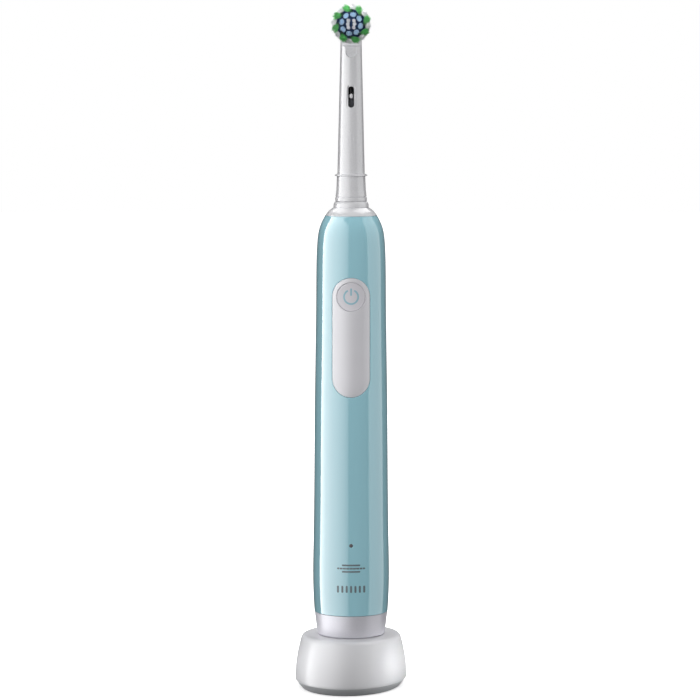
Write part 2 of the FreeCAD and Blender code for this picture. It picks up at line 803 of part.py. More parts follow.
def neck():
    """The white tube: tapered, cut flat behind the disc, with a boss for the disc's axle."""
    bore_low = spigot_r + 0.12
    sleeve_r = ring_top_r - 0.7
    low, middle, high = neck_outline()
    side = Part.BSplineCurve()
    side.interpolate([low, middle, high])
    dome_mid = Vector(neck_top_r * 0.8, 0, neck_end - 1.5)
    end = Vector(0, 0, neck_end)
    upright = Vector(neck_top_r - 0.05, 0, head_z)
    edges = [side.toShape(), Part.makeLine(high, upright), Part.Arc(upright, dome_mid, end).toShape()]
    foot = Vector(0, 0, ring_low + 0.3)
    sleeve = [end, foot, Vector(sleeve_r, 0, ring_low + 0.3), Vector(sleeve_r, 0, low.z), low]
    solid = revolve(edges + Part.makePolygon(sleeve).Edges)
    lower_bore = cyl(bore_low, ring_low - 1, socket_high + 1.5)
    taper = Part.makeCone(bore_low, ram_r + 0.6, head_z - 8.0 - socket_high - 1.5, Vector(0, 0, socket_high + 1.5))
    channel = cyl(ram_r + 0.6, head_z - 8.0 - 0.1, ball_z + 0.9)
    ball_way = box(-ram_r - 0.6, ram_r + 0.6, -neck_low_r, 0, ball_z - 1.3, ball_z + 0.9)
    window = pill(window_w, window_len, 0, head_z - window_drop, -neck_low_r - 1, 0)
    axle_hole = cyl_y(axle_r, -neck_low_r, 2.5, 0, head_z)
    return cut_all(solid, neck_scoop(), lower_bore, taper, channel, ball_way, window, axle_hole)


def neck_scoop():
    """What is cut away in front: a hollow ramp below the disc, then a flat behind it."""
    start = head_z - disc_r - 6.4
    level = head_z - disc_r - 0.5
    wide = neck_low_r + 1
    corners = [(-wide, start - 1.5), (-neck_top_r * 0.97, start), (-neck_flat, level), (-neck_flat, neck_end + 1)]
    corners.append((-wide - 3, neck_end + 1))
    corners.append((-wide - 3, start - 1.5))
    points = [Vector(-wide, y, z) for y, z in corners]
    return Part.Face(Part.makePolygon(points + points[:1])).extrude(Vector(2 * wide, 0, 0))


def id_ring():
    """Ring at the foot of the neck: a rim, a groove, the tapered body and the thin flange."""
    bore = ring_top_r - 0.7 + push_fit
    rim = 1.45
    points = [(bore, ring_low), (ring_low_r, ring_low), (ring_low_r, ring_low + rim)]
    points += [(ring_low_r - 0.2, ring_low + rim + 0.1), (ring_low_r - 0.1, ring_low + rim + 0.3)]
    points += [(ring_top_r + 0.2, ring_low + rim + 2.4), (ring_top_r, ring_top - 2 * flange_t)]
    points += [(ring_top_r, ring_top - flange_t - 0.12), (flange_r, ring_top - flange_t / 2 - 0.1)]
    points += [(neck_low_r + 0.1, ring_top), (neck_low_r + 0.06, ring_top - flange_t)]
    points.append((bore, ring_top - flange_t - 0.06))
    return turned(points)


def ram_socket():
    """Sleeve with a D-shaped bore that takes the drive shaft."""
    sleeve = cyl(spigot_r - 0.2, socket_low, socket_high)
    bore = cyl(shaft_r + fit, socket_low - 1, shaft_top + fit)
    key = box(-shaft_r, shaft_r, shaft_flat + fit, shaft_r + 1, socket_low - 1, shaft_top + fit)
    return sleeve.cut(bore.cut(key))


def ram_shaft():
    """Rod up the neck, with a crank arm and its ball towards the disc."""
    rod = cyl(ram_r, socket_high, ball_z + 0.6)
    arm = cyl_y(0.45, -ball_reach, 0, 0, ball_z)
    return join(rod, arm, Part.makeSphere(ball_r, Vector(0, -ball_reach, ball_z)))


def bristle_disc():
    """Round carrier with the ball's slot in its back and a rounded front edge."""
    disc = cyl_y(disc_r, disc_front, -disc_back, 0, head_z)
    front = [e for e in disc.Edges if e.BoundBox.YMax < disc_front + 0.01]
    disc = disc.makeFillet(0.4, front)
    slot = pill(2 * (ball_r + 0.1), 4.0, 0, ball_z, -ball_reach - ball_r - 0.3, 0)
    return cut_all(disc, slot, cyl_y(axle_r + fit, disc_front + 1.0, 0, 0, head_z))


def disc_axle():
    return cyl_y(axle_r, disc_front + 1.2, 2.5, 0, head_z)


def tuft_ring(count, start, base_r, tip_r, twist, length, thickness):
    """Tufts in a ring: each runs from the disc's face to its tip, which is turned by the twist."""
    tufts = []
    for k in range(count):
        tip_angle = math.radians(start + 360 / count * k)
        base_angle = tip_angle - math.radians(twist)
        ends = []
        for r, angle, y in ((base_r, base_angle, disc_front), (tip_r, tip_angle, disc_front - length)):
            centre = Vector(r * math.cos(angle), y, head_z + r * math.sin(angle))
            ends.append(Part.Wire(Part.makeCircle(thickness, centre, Vector(0, 1, 0))))
        tufts.append(Part.makeLoft(ends, True, True))
    return Part.makeCompound(tufts)


outer_tip = disc_r - 0.8     # tips of the two outer rings, which lean across each other
inner_ring_r = disc_r - 3.6
blue_r = 0.75


def green_tufts():
    return tuft_ring(8, 18.5, disc_r - 2.4, outer_tip, 19, tuft_len, 0.46)


def white_tufts():
    return tuft_ring(8, -3.7, disc_r - 0.9, outer_tip, -16, tuft_len - 1.0, 0.42)


def blue_tufts():
    return tuft_ring(8, 31, inner_ring_r, inner_ring_r + 0.2, 0, tuft_len - 0.4, blue_r)


def centre_tufts():
    """Two upright tufts side by side, inside the inner ring."""
    reach = inner_ring_r - blue_r - 0.25
    half_h = 0.62 * reach
    out = math.sqrt(reach ** 2 - half_h ** 2)
    tip = disc_front - tuft_len + 0.8
    left = box(-out, -0.25, tip, disc_front, head_z - half_h, head_z + half_h)
    return Part.makeCompound([left, box(0.25, out, tip, disc_front, head_z - half_h, head_z + half_h)])


# ---------------------------------------------------------------- the parts
pieces = [charger_shell, charger_base_plate, primary_ferrite_core, coil_bobbin, primary_coil, charger_board,
          charger_components, cord_gland, handle_housing, nose_collar, shaft_seal, button_panel, power_button,
          button_icon, charge_light, bottom_cap, cap_o_ring, coil_carrier, pickup_coil, frame_cushion,
          drive_frame, battery_cell, battery_tabs, foam_pad, circuit_board, board_components, led, tact_switch,
          switch_plunger, motor_can, motor_end_bell, motor_magnets, motor_bushings, motor_brushes,
          motor_screws, motor_shaft, rotor_core, rotor_windings, commutator, pinion, gear_axle, crank_gear,
          eccentric_pin, connecting_rod, rocker_arm, rocker_pin, drive_shaft, lower_bearing, upper_bearing,
          neck, id_ring, ram_socket, ram_shaft, bristle_disc, disc_axle, green_tufts, white_tufts,
          blue_tufts, centre_tufts]


def main():
    os.makedirs("parts", exist_ok=True)
    for piece in pieces:
        shape = piece()
        solids = shape.Solids
        if not solids or not shape.isValid() or min(s.Volume for s in solids) <= 0:
            raise ValueError(piece.__name__ + " is not a sound solid")
        if len(solids) == 1:
            shape = solids[0]
        shape.exportStep("parts/" + piece.__name__ + ".step")
        print(piece.__name__, len(solids), round(shape.Volume, 2))


main()
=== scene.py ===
"""Looks of an electric toothbrush that stands on its charger, laid out as a Blender add-on.

The CAD frame gives the places and sizes. Each operator makes one piece, or one group of like pieces, in
metres, with its place in its mesh. The front of the brush looks towards -Y, and Z is up.
"""
import math

import bmesh
import bpy
from mathutils import Matrix, Vector


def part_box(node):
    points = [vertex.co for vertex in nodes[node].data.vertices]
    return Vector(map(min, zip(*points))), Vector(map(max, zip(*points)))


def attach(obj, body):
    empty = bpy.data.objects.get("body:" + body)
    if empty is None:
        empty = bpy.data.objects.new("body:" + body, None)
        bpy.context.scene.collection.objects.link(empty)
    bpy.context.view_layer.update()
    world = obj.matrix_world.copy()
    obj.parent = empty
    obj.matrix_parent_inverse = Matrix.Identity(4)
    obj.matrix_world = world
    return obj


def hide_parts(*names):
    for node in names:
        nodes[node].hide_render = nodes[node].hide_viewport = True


bl_info = {
    "name": "Electric Toothbrush Looks",
    "version": (1, 0, 0),
    "blender": (4, 5, 0),
    "location": "View3D > Sidebar > Toothbrush",
    "description": "Dresses the electric toothbrush and its charger",
    "category": "Object",
}

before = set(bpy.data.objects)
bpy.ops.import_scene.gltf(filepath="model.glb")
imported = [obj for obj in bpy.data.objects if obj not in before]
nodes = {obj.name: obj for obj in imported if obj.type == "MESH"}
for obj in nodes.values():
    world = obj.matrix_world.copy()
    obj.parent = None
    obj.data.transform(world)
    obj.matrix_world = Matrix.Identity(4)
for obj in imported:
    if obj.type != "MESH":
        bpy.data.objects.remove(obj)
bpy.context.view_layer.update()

MM = 0.001
AROUND = 144                 # columns round a turned piece
ROUND_STEPS = 5              # edges in a rounded corner
SHARP = 32.0                 # degrees from which an edge stays sharp
GOLDEN_ANGLE = 2.39996       # radians between one filament's foot and the next
WINDOW_DOWN = 26.6           # mm from the disc's middle down to the middle of the neck's window
BALL_DOWN = 2.5              # mm from the disc's middle down to the drive rod's ball

# what the frame says, in metres
body_low, body_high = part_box("handle_housing")
nose_low, nose_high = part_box("nose_collar")
cap_low, cap_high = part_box("bottom_cap")
panel_low, panel_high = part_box("button_panel")
button_low, button_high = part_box("power_button")
icon_low, icon_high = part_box("button_icon")
light_low, light_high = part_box("charge_light")
neck_low, neck_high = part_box("neck")
ring_low, ring_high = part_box("id_ring")
disc_low, disc_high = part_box("bristle_disc")
shell_low, shell_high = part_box("charger_shell")
tuft_tip_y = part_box("green_tufts")[0].y

handle_r = body_high.x
deck_z = cap_low.z
plate_top = shell_low.z
button_z = (button_low.z + button_high.z) / 2
button_r = (button_high.x - button_low.x) / 2
panel_r = (panel_high.x - panel_low.x) / 2
disc_z = (disc_low.z + disc_high.z) / 2
disc_r = (disc_high.x - disc_low.x) / 2
light_z = (light_low.z + light_high.z) / 2


def linear(code):
    """An sRGB hex colour as the linear RGBA that shaders take."""
    parts = [int(code[i:i + 2], 16) / 255 for i in (1, 3, 5)]
    return tuple(c / 12.92 if c <= 0.04045 else ((c + 0.055) / 1.055) ** 2.4 for c in parts) + (1.0,)


# ---------------------------------------------------------------- sizes and colours
def length(name, description, default_mm, low=0.0, high=50.0):
    return bpy.props.FloatProperty(name=name, description=description, default=default_mm * MM,
                                   min=low * MM, max=high * MM, unit="LENGTH", precision=5)


def colour(name, description, code):
    return bpy.props.FloatVectorProperty(name=name, description=description, default=linear(code),
                                         size=4, min=0.0, max=1.0, subtype="COLOR")


class ToothbrushSizes(bpy.types.PropertyGroup):
    shoulder: length("Shoulder height", "Height of the body's rounded shoulder", 10.8)
    seam: length("Seam", "Gap between the inlaid pieces and the body", 0.03, 0.0, 0.3)
    inlay_crown: length("Inlay crown", "How far the soft inlay stands proud of the body", 0.1, 0.0, 0.5)
    inlay_dome: length("Inlay dome", "How much higher the inlay's middle is than its rim", 0.5, 0.0, 1.0)
    button_dish: length("Button dish", "Depth of the finger dish in the button", 0.25, 0.0, 0.6)
    icon_line: length("Icon line", "Width of the power symbol's line", 0.62, 0.1, 2.0)
    filament: length("Filament", "Thickness of a bristle filament", 0.2, 0.05, 0.5)
    deck_round: length("Deck edge", "Rounding of the charger's upper edge", 1.3, 0.2, 4.0)
    charger_turn: bpy.props.FloatProperty(
        name="Charger turn", description="Turn of the charger under the handle",
        default=math.radians(-14), subtype="ANGLE")


class ToothbrushColours(bpy.types.PropertyGroup):
    turquoise: colour("Body", "Gloss ABS of the handle's body", "#A9DEEB")
    white: colour("White", "Moulded white of the nose", "#E9E9EC")
    # a darker white than the nose's, for the same plastic: painted shade over the charger
    shell: colour("Charger", "Moulded white of the charger's shell", "#DCDCDF")
    inlay: colour("Inlay", "Soft inlay round the button", "#E4E3E8")
    button: colour("Button", "The button's slightly greyer disc", "#E2E0E6")
    icon: colour("Icon", "The power symbol", "#9CC9D8")
    silver: colour("Silver", "Silver paint of the bottom cap", "#CDCCD3")
    head: colour("Head", "Acetal of the neck and ring", "#E7E7EA")
    green: colour("Green bristles", "Outer bristles", "#64BE6C")
    blue: colour("Blue bristles", "Inner bristles", "#B4D6FF")
    pale: colour("White bristles", "Outer and middle white bristles", "#F2F3F8")
    mark: colour("Mark", "Printed marks on the body", "#6F7A80")


# ---------------------------------------------------------------- materials
MIXED = 2                    # number of the Mix node's colour output


def node(tree, kind, inputs=None, **settings):
    """Adds a node with its settings and links. An input, by its name, identifier or number, takes a value or
    the output that feeds it."""
    made = tree.nodes.new(kind)
    for key, value in settings.items():
        setattr(made, key, value)
    for key, value in (inputs or {}).items():
        socket = next(s for i, s in enumerate(made.inputs) if key in (i, s.identifier, s.name))
        if isinstance(value, bpy.types.NodeSocket):
            tree.links.new(value, socket)
        else:
            socket.default_value = value
    return made


def new_material(name, even):
    """An empty material, its tree, its shader with what is even all over, and its Object coordinates."""
    material = bpy.data.materials.new(name)
    material.use_nodes = True
    tree = material.node_tree
    tree.nodes.clear()
    shader = node(tree, "ShaderNodeBsdfPrincipled", even)
    node(tree, "ShaderNodeOutputMaterial", {"Surface": shader.outputs["BSDF"]})
    place = node(tree, "ShaderNodeTexCoord").outputs["Object"]
    return material, tree, shader, place


def dress(tree, shader, tint, relief, depth_mm, gloss=None):
    """Feeds a finish's patterns to its shader: colour, relief and, where it varies, roughness."""
    tree.links.new(tint, shader.inputs["Base Color"])
    bump = node(tree, "ShaderNodeBump", {"Height": relief, "Distance": depth_mm * MM, "Strength": 1.0})
    tree.links.new(bump.outputs["Normal"], shader.inputs["Normal"])
    if gloss:
        tree.links.new(gloss.outputs["Result"], shader.inputs["Roughness"])


def shade(base, factor):
    return tuple(min(1.0, c * factor) for c in base[:3]) + (1.0,)


def patches(tree, place, base, size_mm, spread):
    """Base colour that drifts by a small share over patches of this size."""
    noise = node(tree, "ShaderNodeTexNoise", {"Vector": place, "Scale": 1 / (size_mm * MM), "Detail": 2.0})
    return node(tree, "ShaderNodeMix", {"Factor": noise.outputs["Fac"], "A_Color": shade(base, 1 - spread),
                                        "B_Color": shade(base, 1 + spread)}, data_type="RGBA").outputs[MIXED]


def moulded(name, base, roughness, grain_mm, depth_mm, spread=0.02, coat=0.0, coat_rough=0.03):
    """Injection-moulded plastic: fine tool texture, slightly uneven gloss and a faint drift in colour."""
    material, tree, shader, place = new_material(name, {"Coat Weight": coat, "Coat Roughness": coat_rough})
    tint = patches(tree, place, base, 9.0, spread)
    grain = node(tree, "ShaderNodeTexNoise", {"Vector": place, "Scale": 1 / (grain_mm * MM), "Detail": 3.0})
    gloss = node(tree, "ShaderNodeMapRange", {"Value": grain.outputs["Fac"], "From Min": 0.3, "From Max": 0.7,
                                              "To Min": roughness * 0.9, "To Max": roughness * 1.1})
    dress(tree, shader, tint, grain.outputs["Fac"], depth_mm, gloss)
    return material


def metal(name, base, roughness, stretch=(1.0, 1.0, 12.0)):
    """Drawn, turned or ground metal: lines about 0.12 mm apart that run across the stretch direction."""
    material, tree, shader, place = new_material(name, {"Metallic": 1.0})
    tint = patches(tree, place, base, 4.0, 0.06)
    line = 0.12 * MM * 12
    lay = node(tree, "ShaderNodeMapping", {"Vector": place, "Scale": tuple(s / line for s in stretch)})
    lines = node(tree, "ShaderNodeTexNoise", {"Vector": lay.outputs["Vector"], "Scale": 1.0, "Detail": 4.0})
    gloss = node(tree, "ShaderNodeMapRange", {"Value": lines.outputs["Fac"], "From Min": 0.3, "From Max": 0.7,
                                              "To Min": roughness * 0.8, "To Max": roughness * 1.25})
    dress(tree, shader, tint, lines.outputs["Fac"], 0.002, gloss)
    return material


def banded(name, base, pitch_mm, roughness, metallic, depth_mm, spread=0.15):
    """Wound wire or stacked sheet: bands of one pitch up the piece, with a dark line between them: painted
    shade in the grooves between turns of wire, and the dark joints between stacked sheets.
    """
    material, tree, shader, place = new_material(name, {"Metallic": metallic, "Roughness": roughness})
    wave = node(tree, "ShaderNodeTexWave", {"Vector": place, "Scale": math.pi / 10 / (pitch_mm * MM)},
                wave_type="BANDS", bands_direction="Z", wave_profile="SIN")
    # the dark line is painted shade where it lies in the grooves between turns of wire; between stacked
    # sheets it is their dark joint
    tint = node(tree, "ShaderNodeMix", {"Factor": wave.outputs["Fac"], "A_Color": shade(base, 1 - 3 * spread),
                                        "B_Color": shade(base, 1 + spread)}, data_type="RGBA")
    dress(tree, shader, tint.outputs[MIXED], wave.outputs["Fac"], depth_mm)
    return material


def gloss_abs(base):
    """High-gloss ABS under a clear coat: a hard, mirror-like reflection over an even deep colour."""
    material, tree, shader, place = new_material("gloss_turquoise_abs",
                                                 {"IOR": 1.5, "Coat Weight": 1.0, "Coat Roughness": 0.02})
    tint = patches(tree, place, base, 30.0, 0.015)
    ripple = node(tree, "ShaderNodeTexNoise", {"Vector": place, "Scale": 1 / (5 * MM), "Detail": 1.0})
    gloss = node(tree, "ShaderNodeMapRange", {"Value": ripple.outputs["Fac"], "To Min": 0.06, "To Max": 0.1})
    dress(tree, shader, tint, ripple.outputs["Fac"], 0.004, gloss)
    return material


def silver_paint(base):
    """Silver paint over plastic: fine aluminium flakes that lie at slightly different tilts."""
    material, tree, shader, place = new_material("silver_paint", {"Metallic": 0.2, "Coat Weight": 0.1})
    flakes = node(tree, "ShaderNodeTexVoronoi", {"Vector": place, "Scale": 1 / (0.12 * MM)})
    grey = node(tree, "ShaderNodeRGBToBW", {"Color": flakes.outputs["Color"]}).outputs["Val"]
    tint = node(tree, "ShaderNodeMix", {"Factor": grey, "A_Color": shade(base, 0.94),
                                        "B_Color": shade(base, 1.06)}, data_type="RGBA")
    gloss = node(tree, "ShaderNodeMapRange", {"Value": grey, "To Min": 0.4, "To Max": 0.52})
    dress(tree, shader, tint.outputs[MIXED], grey, 0.002, gloss)
    return material


def filament_nylon(name, base, deep):
    """Dyed nylon filament: translucent and streaked, with painted shade that darkens it down in the tuft
    where little light comes.
    """
    material, tree, shader, place = new_material(name, {
        "Roughness": 0.38, "IOR": 1.53, "Subsurface Weight": 0.15, "Subsurface Radius": (1.0, 1.0, 1.0),
        "Subsurface Scale": 0.3 * MM})
    depth = node(tree, "ShaderNodeSeparateXYZ", {"Vector": place}).outputs["Y"]
    reach = tuft_tip_y - disc_low.y
    climb = node(tree, "ShaderNodeMapRange", {"Value": depth, "From Min": disc_low.y + 0.25 * reach,
                                              "From Max": disc_low.y + 0.8 * reach},
                 interpolation_type="SMOOTHSTEP")
    streak = node(tree, "ShaderNodeTexNoise", {"Vector": place, "Scale": 1 / (0.35 * MM), "Detail": 1.0})
    lit = node(tree, "ShaderNodeMix", {"Factor": streak.outputs["Fac"], "A_Color": shade(base, 0.8),
                                       "B_Color": shade(base, 1.25)}, data_type="RGBA")
    # painted shade: from the tips down to the root the colour falls to the share given by deep
    tint = node(tree, "ShaderNodeMix", {"Factor": climb.outputs["Result"], "A_Color": shade(base, deep),
                                        "B_Color": lit.outputs[MIXED]}, data_type="RGBA")
    dress(tree, shader, tint.outputs[MIXED], streak.outputs["Fac"], 0.01)
    return material


def circuit_laminate():
    """Glass-epoxy board under green solder mask, with paler squares where copper lies beneath."""
    material, tree, shader, place = new_material("board_solder_mask", {"Roughness": 0.35})
    cells = node(tree, "ShaderNodeTexVoronoi", {"Vector": place, "Scale": 1 / (1.6 * MM)},
                 distance="CHEBYCHEV")
    edge = node(tree, "ShaderNodeMapRange", {"Value": cells.outputs["Distance"], "From Min": 0.28,
                                             "From Max": 0.34}).outputs["Result"]
    tint = node(tree, "ShaderNodeMix", {"Factor": edge, "A_Color": linear("#2E7D4F"),
                                        "B_Color": linear("#1D5C3A")}, data_type="RGBA")
    dress(tree, shader, tint.outputs[MIXED], edge, 0.03)
    return material


def closed_foam():
    """Closed-cell foam: a rough skin of small round cells, each darker in its middle where the relief dips:
    painted shade in the cells' hollows.
    """
    material, tree, shader, place = new_material("cell_foam", {"Roughness": 0.9})
    cells = node(tree, "ShaderNodeTexVoronoi", {"Vector": place, "Scale": 1 / (0.5 * MM)}).outputs["Distance"]
    # painted shade: darker in the middle of each cell
    tint = node(tree, "ShaderNodeMix", {"Factor": cells, "A_Color": linear("#3A3B3F"),
                                        "B_Color": linear("#55565B")}, data_type="RGBA")
    dress(tree, shader, tint.outputs[MIXED], cells, 0.1)
    return material


finishes = {}


def make_finishes(c):
    """Every finish of the object, by a plain name: the grain and the depth of its relief are in mm."""
    finishes.update({
        "body": gloss_abs(c.turquoise),
        # moulded ABS, fine satin tool: white with a soft sheen and a narrow bright line under the lamps
        "white": moulded("satin_white_abs", c.white, 0.3, 0.4, 0.003, coat=1.0, coat_rough=0.1),
        # the same plastic from a blasted tool, its white set darker than the nose's white: painted shade over
        # the charger; the lamps only leave a wide pale band
        "charger": moulded("charger_shaded_white_abs", c.shell, 0.34, 0.5, 0.003, coat=0.3, coat_rough=0.16),
        # moulded ABS with a coarser texture: dull light grey
        "plate": moulded("grey_abs", linear("#D6D8DB"), 0.45, 0.5, 0.01),
        # over-moulded elastomer: velvety, its highlight spread wide
        "inlay": moulded("soft_white_elastomer", c.inlay, 0.36, 0.3, 0.006, coat=1.0, coat_rough=0.3),
        "button": moulded("soft_grey_elastomer", c.button, 0.42, 0.25, 0.008),
        # pad-printed ink: flat colour with a faint grain
        "icon": moulded("printed_teal_ink", c.icon, 0.4, 0.2, 0.003),
        "mark": moulded("printed_grey_ink", c.mark, 0.45, 0.2, 0.003),
        # moulded acetal, polished tool: cool white and slick
        "head": moulded("head_acetal", c.head, 0.28, 0.4, 0.003, coat=1.0, coat_rough=0.1),
        # a brighter copy of the neck's acetal, used for the bead in the window: painted light against the
        # shade inside the neck
        "lit_acetal": moulded("acetal_painted_light", linear("#F7F7F9"), 0.3, 0.4, 0.003),
        # a thin dark navy disc on the carrier's face between the tufts: painted shade, dark blue and waxy
        "shade_bed": moulded("painted_shade_navy", linear("#152036"), 0.5, 0.3, 0.004),
        # tinted polycarbonate light guide: glassy and dark while unlit
        "light": moulded("smoked_polycarbonate", linear("#6B6668"), 0.12, 0.4, 0.002),
        "silver": silver_paint(c.silver),
        # the last number is the share of colour left at the tufts' roots: painted shade
        "green": filament_nylon("green_nylon", c.green, 0.05),
        "blue": filament_nylon("blue_nylon", c.blue, 0.06),
        "pale": filament_nylon("white_nylon", c.pale, 0.3),
        # natural acetal gears and bearings: ivory, slick
        "acetal": moulded("gear_acetal", linear("#E8E6DA"), 0.35, 0.3, 0.004),
        # moulded nylon: black and dull, or black and shiny where the tool is polished
        "black": moulded("black_nylon", linear("#1D1E20"), 0.5, 0.3, 0.01),
        # shiny black, used only on the sleeve in the neck's window: painted shade
        "gloss_black": moulded("gloss_black_shade", linear("#08080A"), 0.18, 0.3, 0.002),
        # nylon with glass fibre: dark grey, rough, with a cloudy drift
        "chassis": moulded("glass_filled_nylon", linear("#54565B"), 0.55, 0.2, 0.02, 0.06),
        # moulded rubber: almost black, no highlight
        "rubber": moulded("dark_rubber", linear("#232427"), 0.7, 0.25, 0.02),
        # pressed and fired ferrite powder: charcoal and gritty
        "ferrite": moulded("pressed_ferrite", linear("#2B2B2E"), 0.6, 0.15, 0.03, 0.1),
        # shrunk plastic sleeve of the cell: green with long soft wrinkles
        "sleeve": moulded("shrink_sleeve", linear("#2E6E45"), 0.3, 0.8, 0.01, 0.04),
        # moulded epoxy of the small electric parts: dark and matt, or clear over the lamp
        "epoxy": moulded("moulded_epoxy", linear("#26272A"), 0.45, 0.12, 0.01, 0.08),
        "clear": moulded("clear_epoxy", linear("#E9E6CF"), 0.1, 0.4, 0.002),
        # metals by how they were worked: ground bright, plated, rolled, turned, pressed from powder
        "steel": metal("ground_steel", linear("#BDBFC4"), 0.25, (12.0, 12.0, 1.0)),
        "can": metal("zinc_plated_steel", linear("#B4B6BA"), 0.32),
        "nickel": metal("nickel_strip", linear("#C6C2B4"), 0.3),
        "brass": metal("turned_brass", linear("#C9A45C"), 0.28),
        "bronze": metal("sintered_bronze", linear("#9C7B4E"), 0.5),
        # enamelled wire, its turns drawn 0.22 mm apart; sheets of the rotor's core drawn 0.5 mm thick
        "copper": banded("enamelled_copper_wire", linear("#B5653A"), 0.22, 0.3, 0.9, 0.08),
        "core": banded("stacked_electrical_steel", linear("#8D9096"), 0.5, 0.4, 1.0, 0.03),
        "board": circuit_laminate(),
        "foam": closed_foam(),
    })


cad_finishes = {
    "ferrite": ["primary_ferrite_core", "motor_magnets", "motor_brushes"],
    "black": ["coil_bobbin", "coil_carrier", "motor_end_bell", "tact_switch", "switch_plunger"],
    "copper": ["primary_coil", "pickup_coil", "rotor_windings"],
    "board": ["charger_board", "circuit_board"],
    "epoxy": ["charger_components", "board_components"],
    "rubber": ["cap_o_ring", "shaft_seal", "frame_cushion"],
    "chassis": ["drive_frame"],
    "sleeve": ["battery_cell"],
    "nickel": ["battery_tabs"],
    "bronze": ["motor_bushings"],
    "foam": ["foam_pad"],
    "clear": ["led"],
    "can": ["motor_can", "motor_screws"],
    "steel": ["motor_shaft", "gear_axle", "eccentric_pin", "rocker_pin", "drive_shaft", "disc_axle"],
    "core": ["rotor_core"],
    "brass": ["commutator", "pinion"],
    "acetal": ["crank_gear", "connecting_rod", "rocker_arm", "lower_bearing", "upper_bearing", "ram_socket"],
}


# ---------------------------------------------------------------- mesh helpers
def mesh_object(name, points, faces):
    """A mesh object from points and faces, closed, facing outwards, smooth except at real edges."""
    mesh = bpy.data.meshes.new(name)
    mesh.from_pydata([tuple(p) for p in points], [], faces)
    bm = bmesh.new()
    bm.from_mesh(mesh)
    bmesh.ops.remove_doubles(bm, verts=bm.verts, dist=1e-7)
    bmesh.ops.dissolve_degenerate(bm, edges=bm.edges, dist=1e-8)
    bmesh.ops.recalc_face_normals(bm, faces=bm.faces)
    bm.to_mesh(mesh)
    bm.free()
    smooth(mesh)
    made = bpy.data.objects.new(name, mesh)
    bpy.context.scene.collection.objects.link(made)
    return made


def smooth(mesh, sharp_degrees=SHARP):
    mesh.shade_smooth()
    mesh.set_sharp_from_angle(angle=math.radians(sharp_degrees))


def finish_piece(made, finish, body, slot, *replaced):
    """Gives a piece its material and its body, and hides the CAD nodes that it stands for. Its record slot is
    not used.
    """
    made.data.materials.clear()
    made.data.materials.append(finishes[finish])
    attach(made, body)
    if replaced:
        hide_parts(*replaced)


def rounded(corners):
    """An outline's points from (x, z) or (x, z, radius) corners in mm; a radius rounds the corner."""
    out = []
    count = len(corners)
    for i, corner in enumerate(corners):
        here = Vector(corner[:2])
        if len(corner) == 2 or corner[2] <= 0:
            out.append(here)
            continue
        before = Vector(corners[i - 1][:2]) - here
        after = Vector(corners[(i + 1) % count][:2]) - here
        half = before.angle(after) / 2
        cut = min(corner[2] / math.tan(half), 0.49 * before.length, 0.49 * after.length)
        start = here + before.normalized() * cut
        end = here + after.normalized() * cut
        for k in range(ROUND_STEPS + 1):
            t = k / ROUND_STEPS
            out.append(start * (1 - t) ** 2 + here * 2 * t * (1 - t) + end * t ** 2)
    return out


def turns(count):
    """Evenly spaced angles of one full turn."""
    return [2 * math.pi * k / count for k in range(count)]


def loft(name, loops, closed=False):
    """A skin over loops of equal length; a loop of one point is a pole."""
    points, starts = [], []
    for loop in loops:
        starts.append(len(points))
        points += loop
    faces = []
    pairs = list(zip(range(len(loops) - 1), range(1, len(loops))))
    if closed:
        pairs.append((len(loops) - 1, 0))
    for a, b in pairs:
        na, nb = len(loops[a]), len(loops[b])
        for j in range(max(na, nb)):
            k = (j + 1) % max(na, nb)
            quad = [starts[a] + j % na, starts[a] + k % na, starts[b] + k % nb, starts[b] + j % nb]
            face = []
            for corner in quad:
                if corner not in face:
                    face.append(corner)
            if len(face) > 2:
                faces.append(face)
    return mesh_object(name, points, faces)


def lathe(name, outline_mm, around=AROUND, matrix=None):
    """A turned piece from a closed outline of (radius, height) in mm."""
    loops = []
    turn = turns(around)
    for r, z in outline_mm:
        if r < 1e-6:
            loops.append([Vector((0, 0, z * MM))])
            continue
        loops.append([Vector((r * MM * math.cos(a), r * MM * math.sin(a), z * MM)) for a in turn])
    if matrix is not None:
        loops = [[matrix @ p for p in loop] for loop in loops]
    return loft(name, loops, True)


def mm(value):
    return value / MM


def curve_through(points, steps):
    """Points of a smooth curve through the given (x, y) points."""
    out = []
    for i in range(len(points) - 1):
        p1, p2 = Vector(points[i]), Vector(points[i + 1])
        t1 = (p2 - Vector(points[i - 1])) / 2 if i else p2 - p1
        t2 = (Vector(points[i + 2]) - p1) / 2 if i + 2 < len(points) else p2 - p1
        for k in range(steps):
            t = k / steps
            rise = 3 * t ** 2 - 2 * t ** 3
            leave, arrive = t ** 3 - 2 * t ** 2 + t, t ** 3 - t ** 2
            out.append(p1 * (1 - rise) + t1 * leave + p2 * rise + t2 * arrive)
    out.append(Vector(points[-1]))
    return out


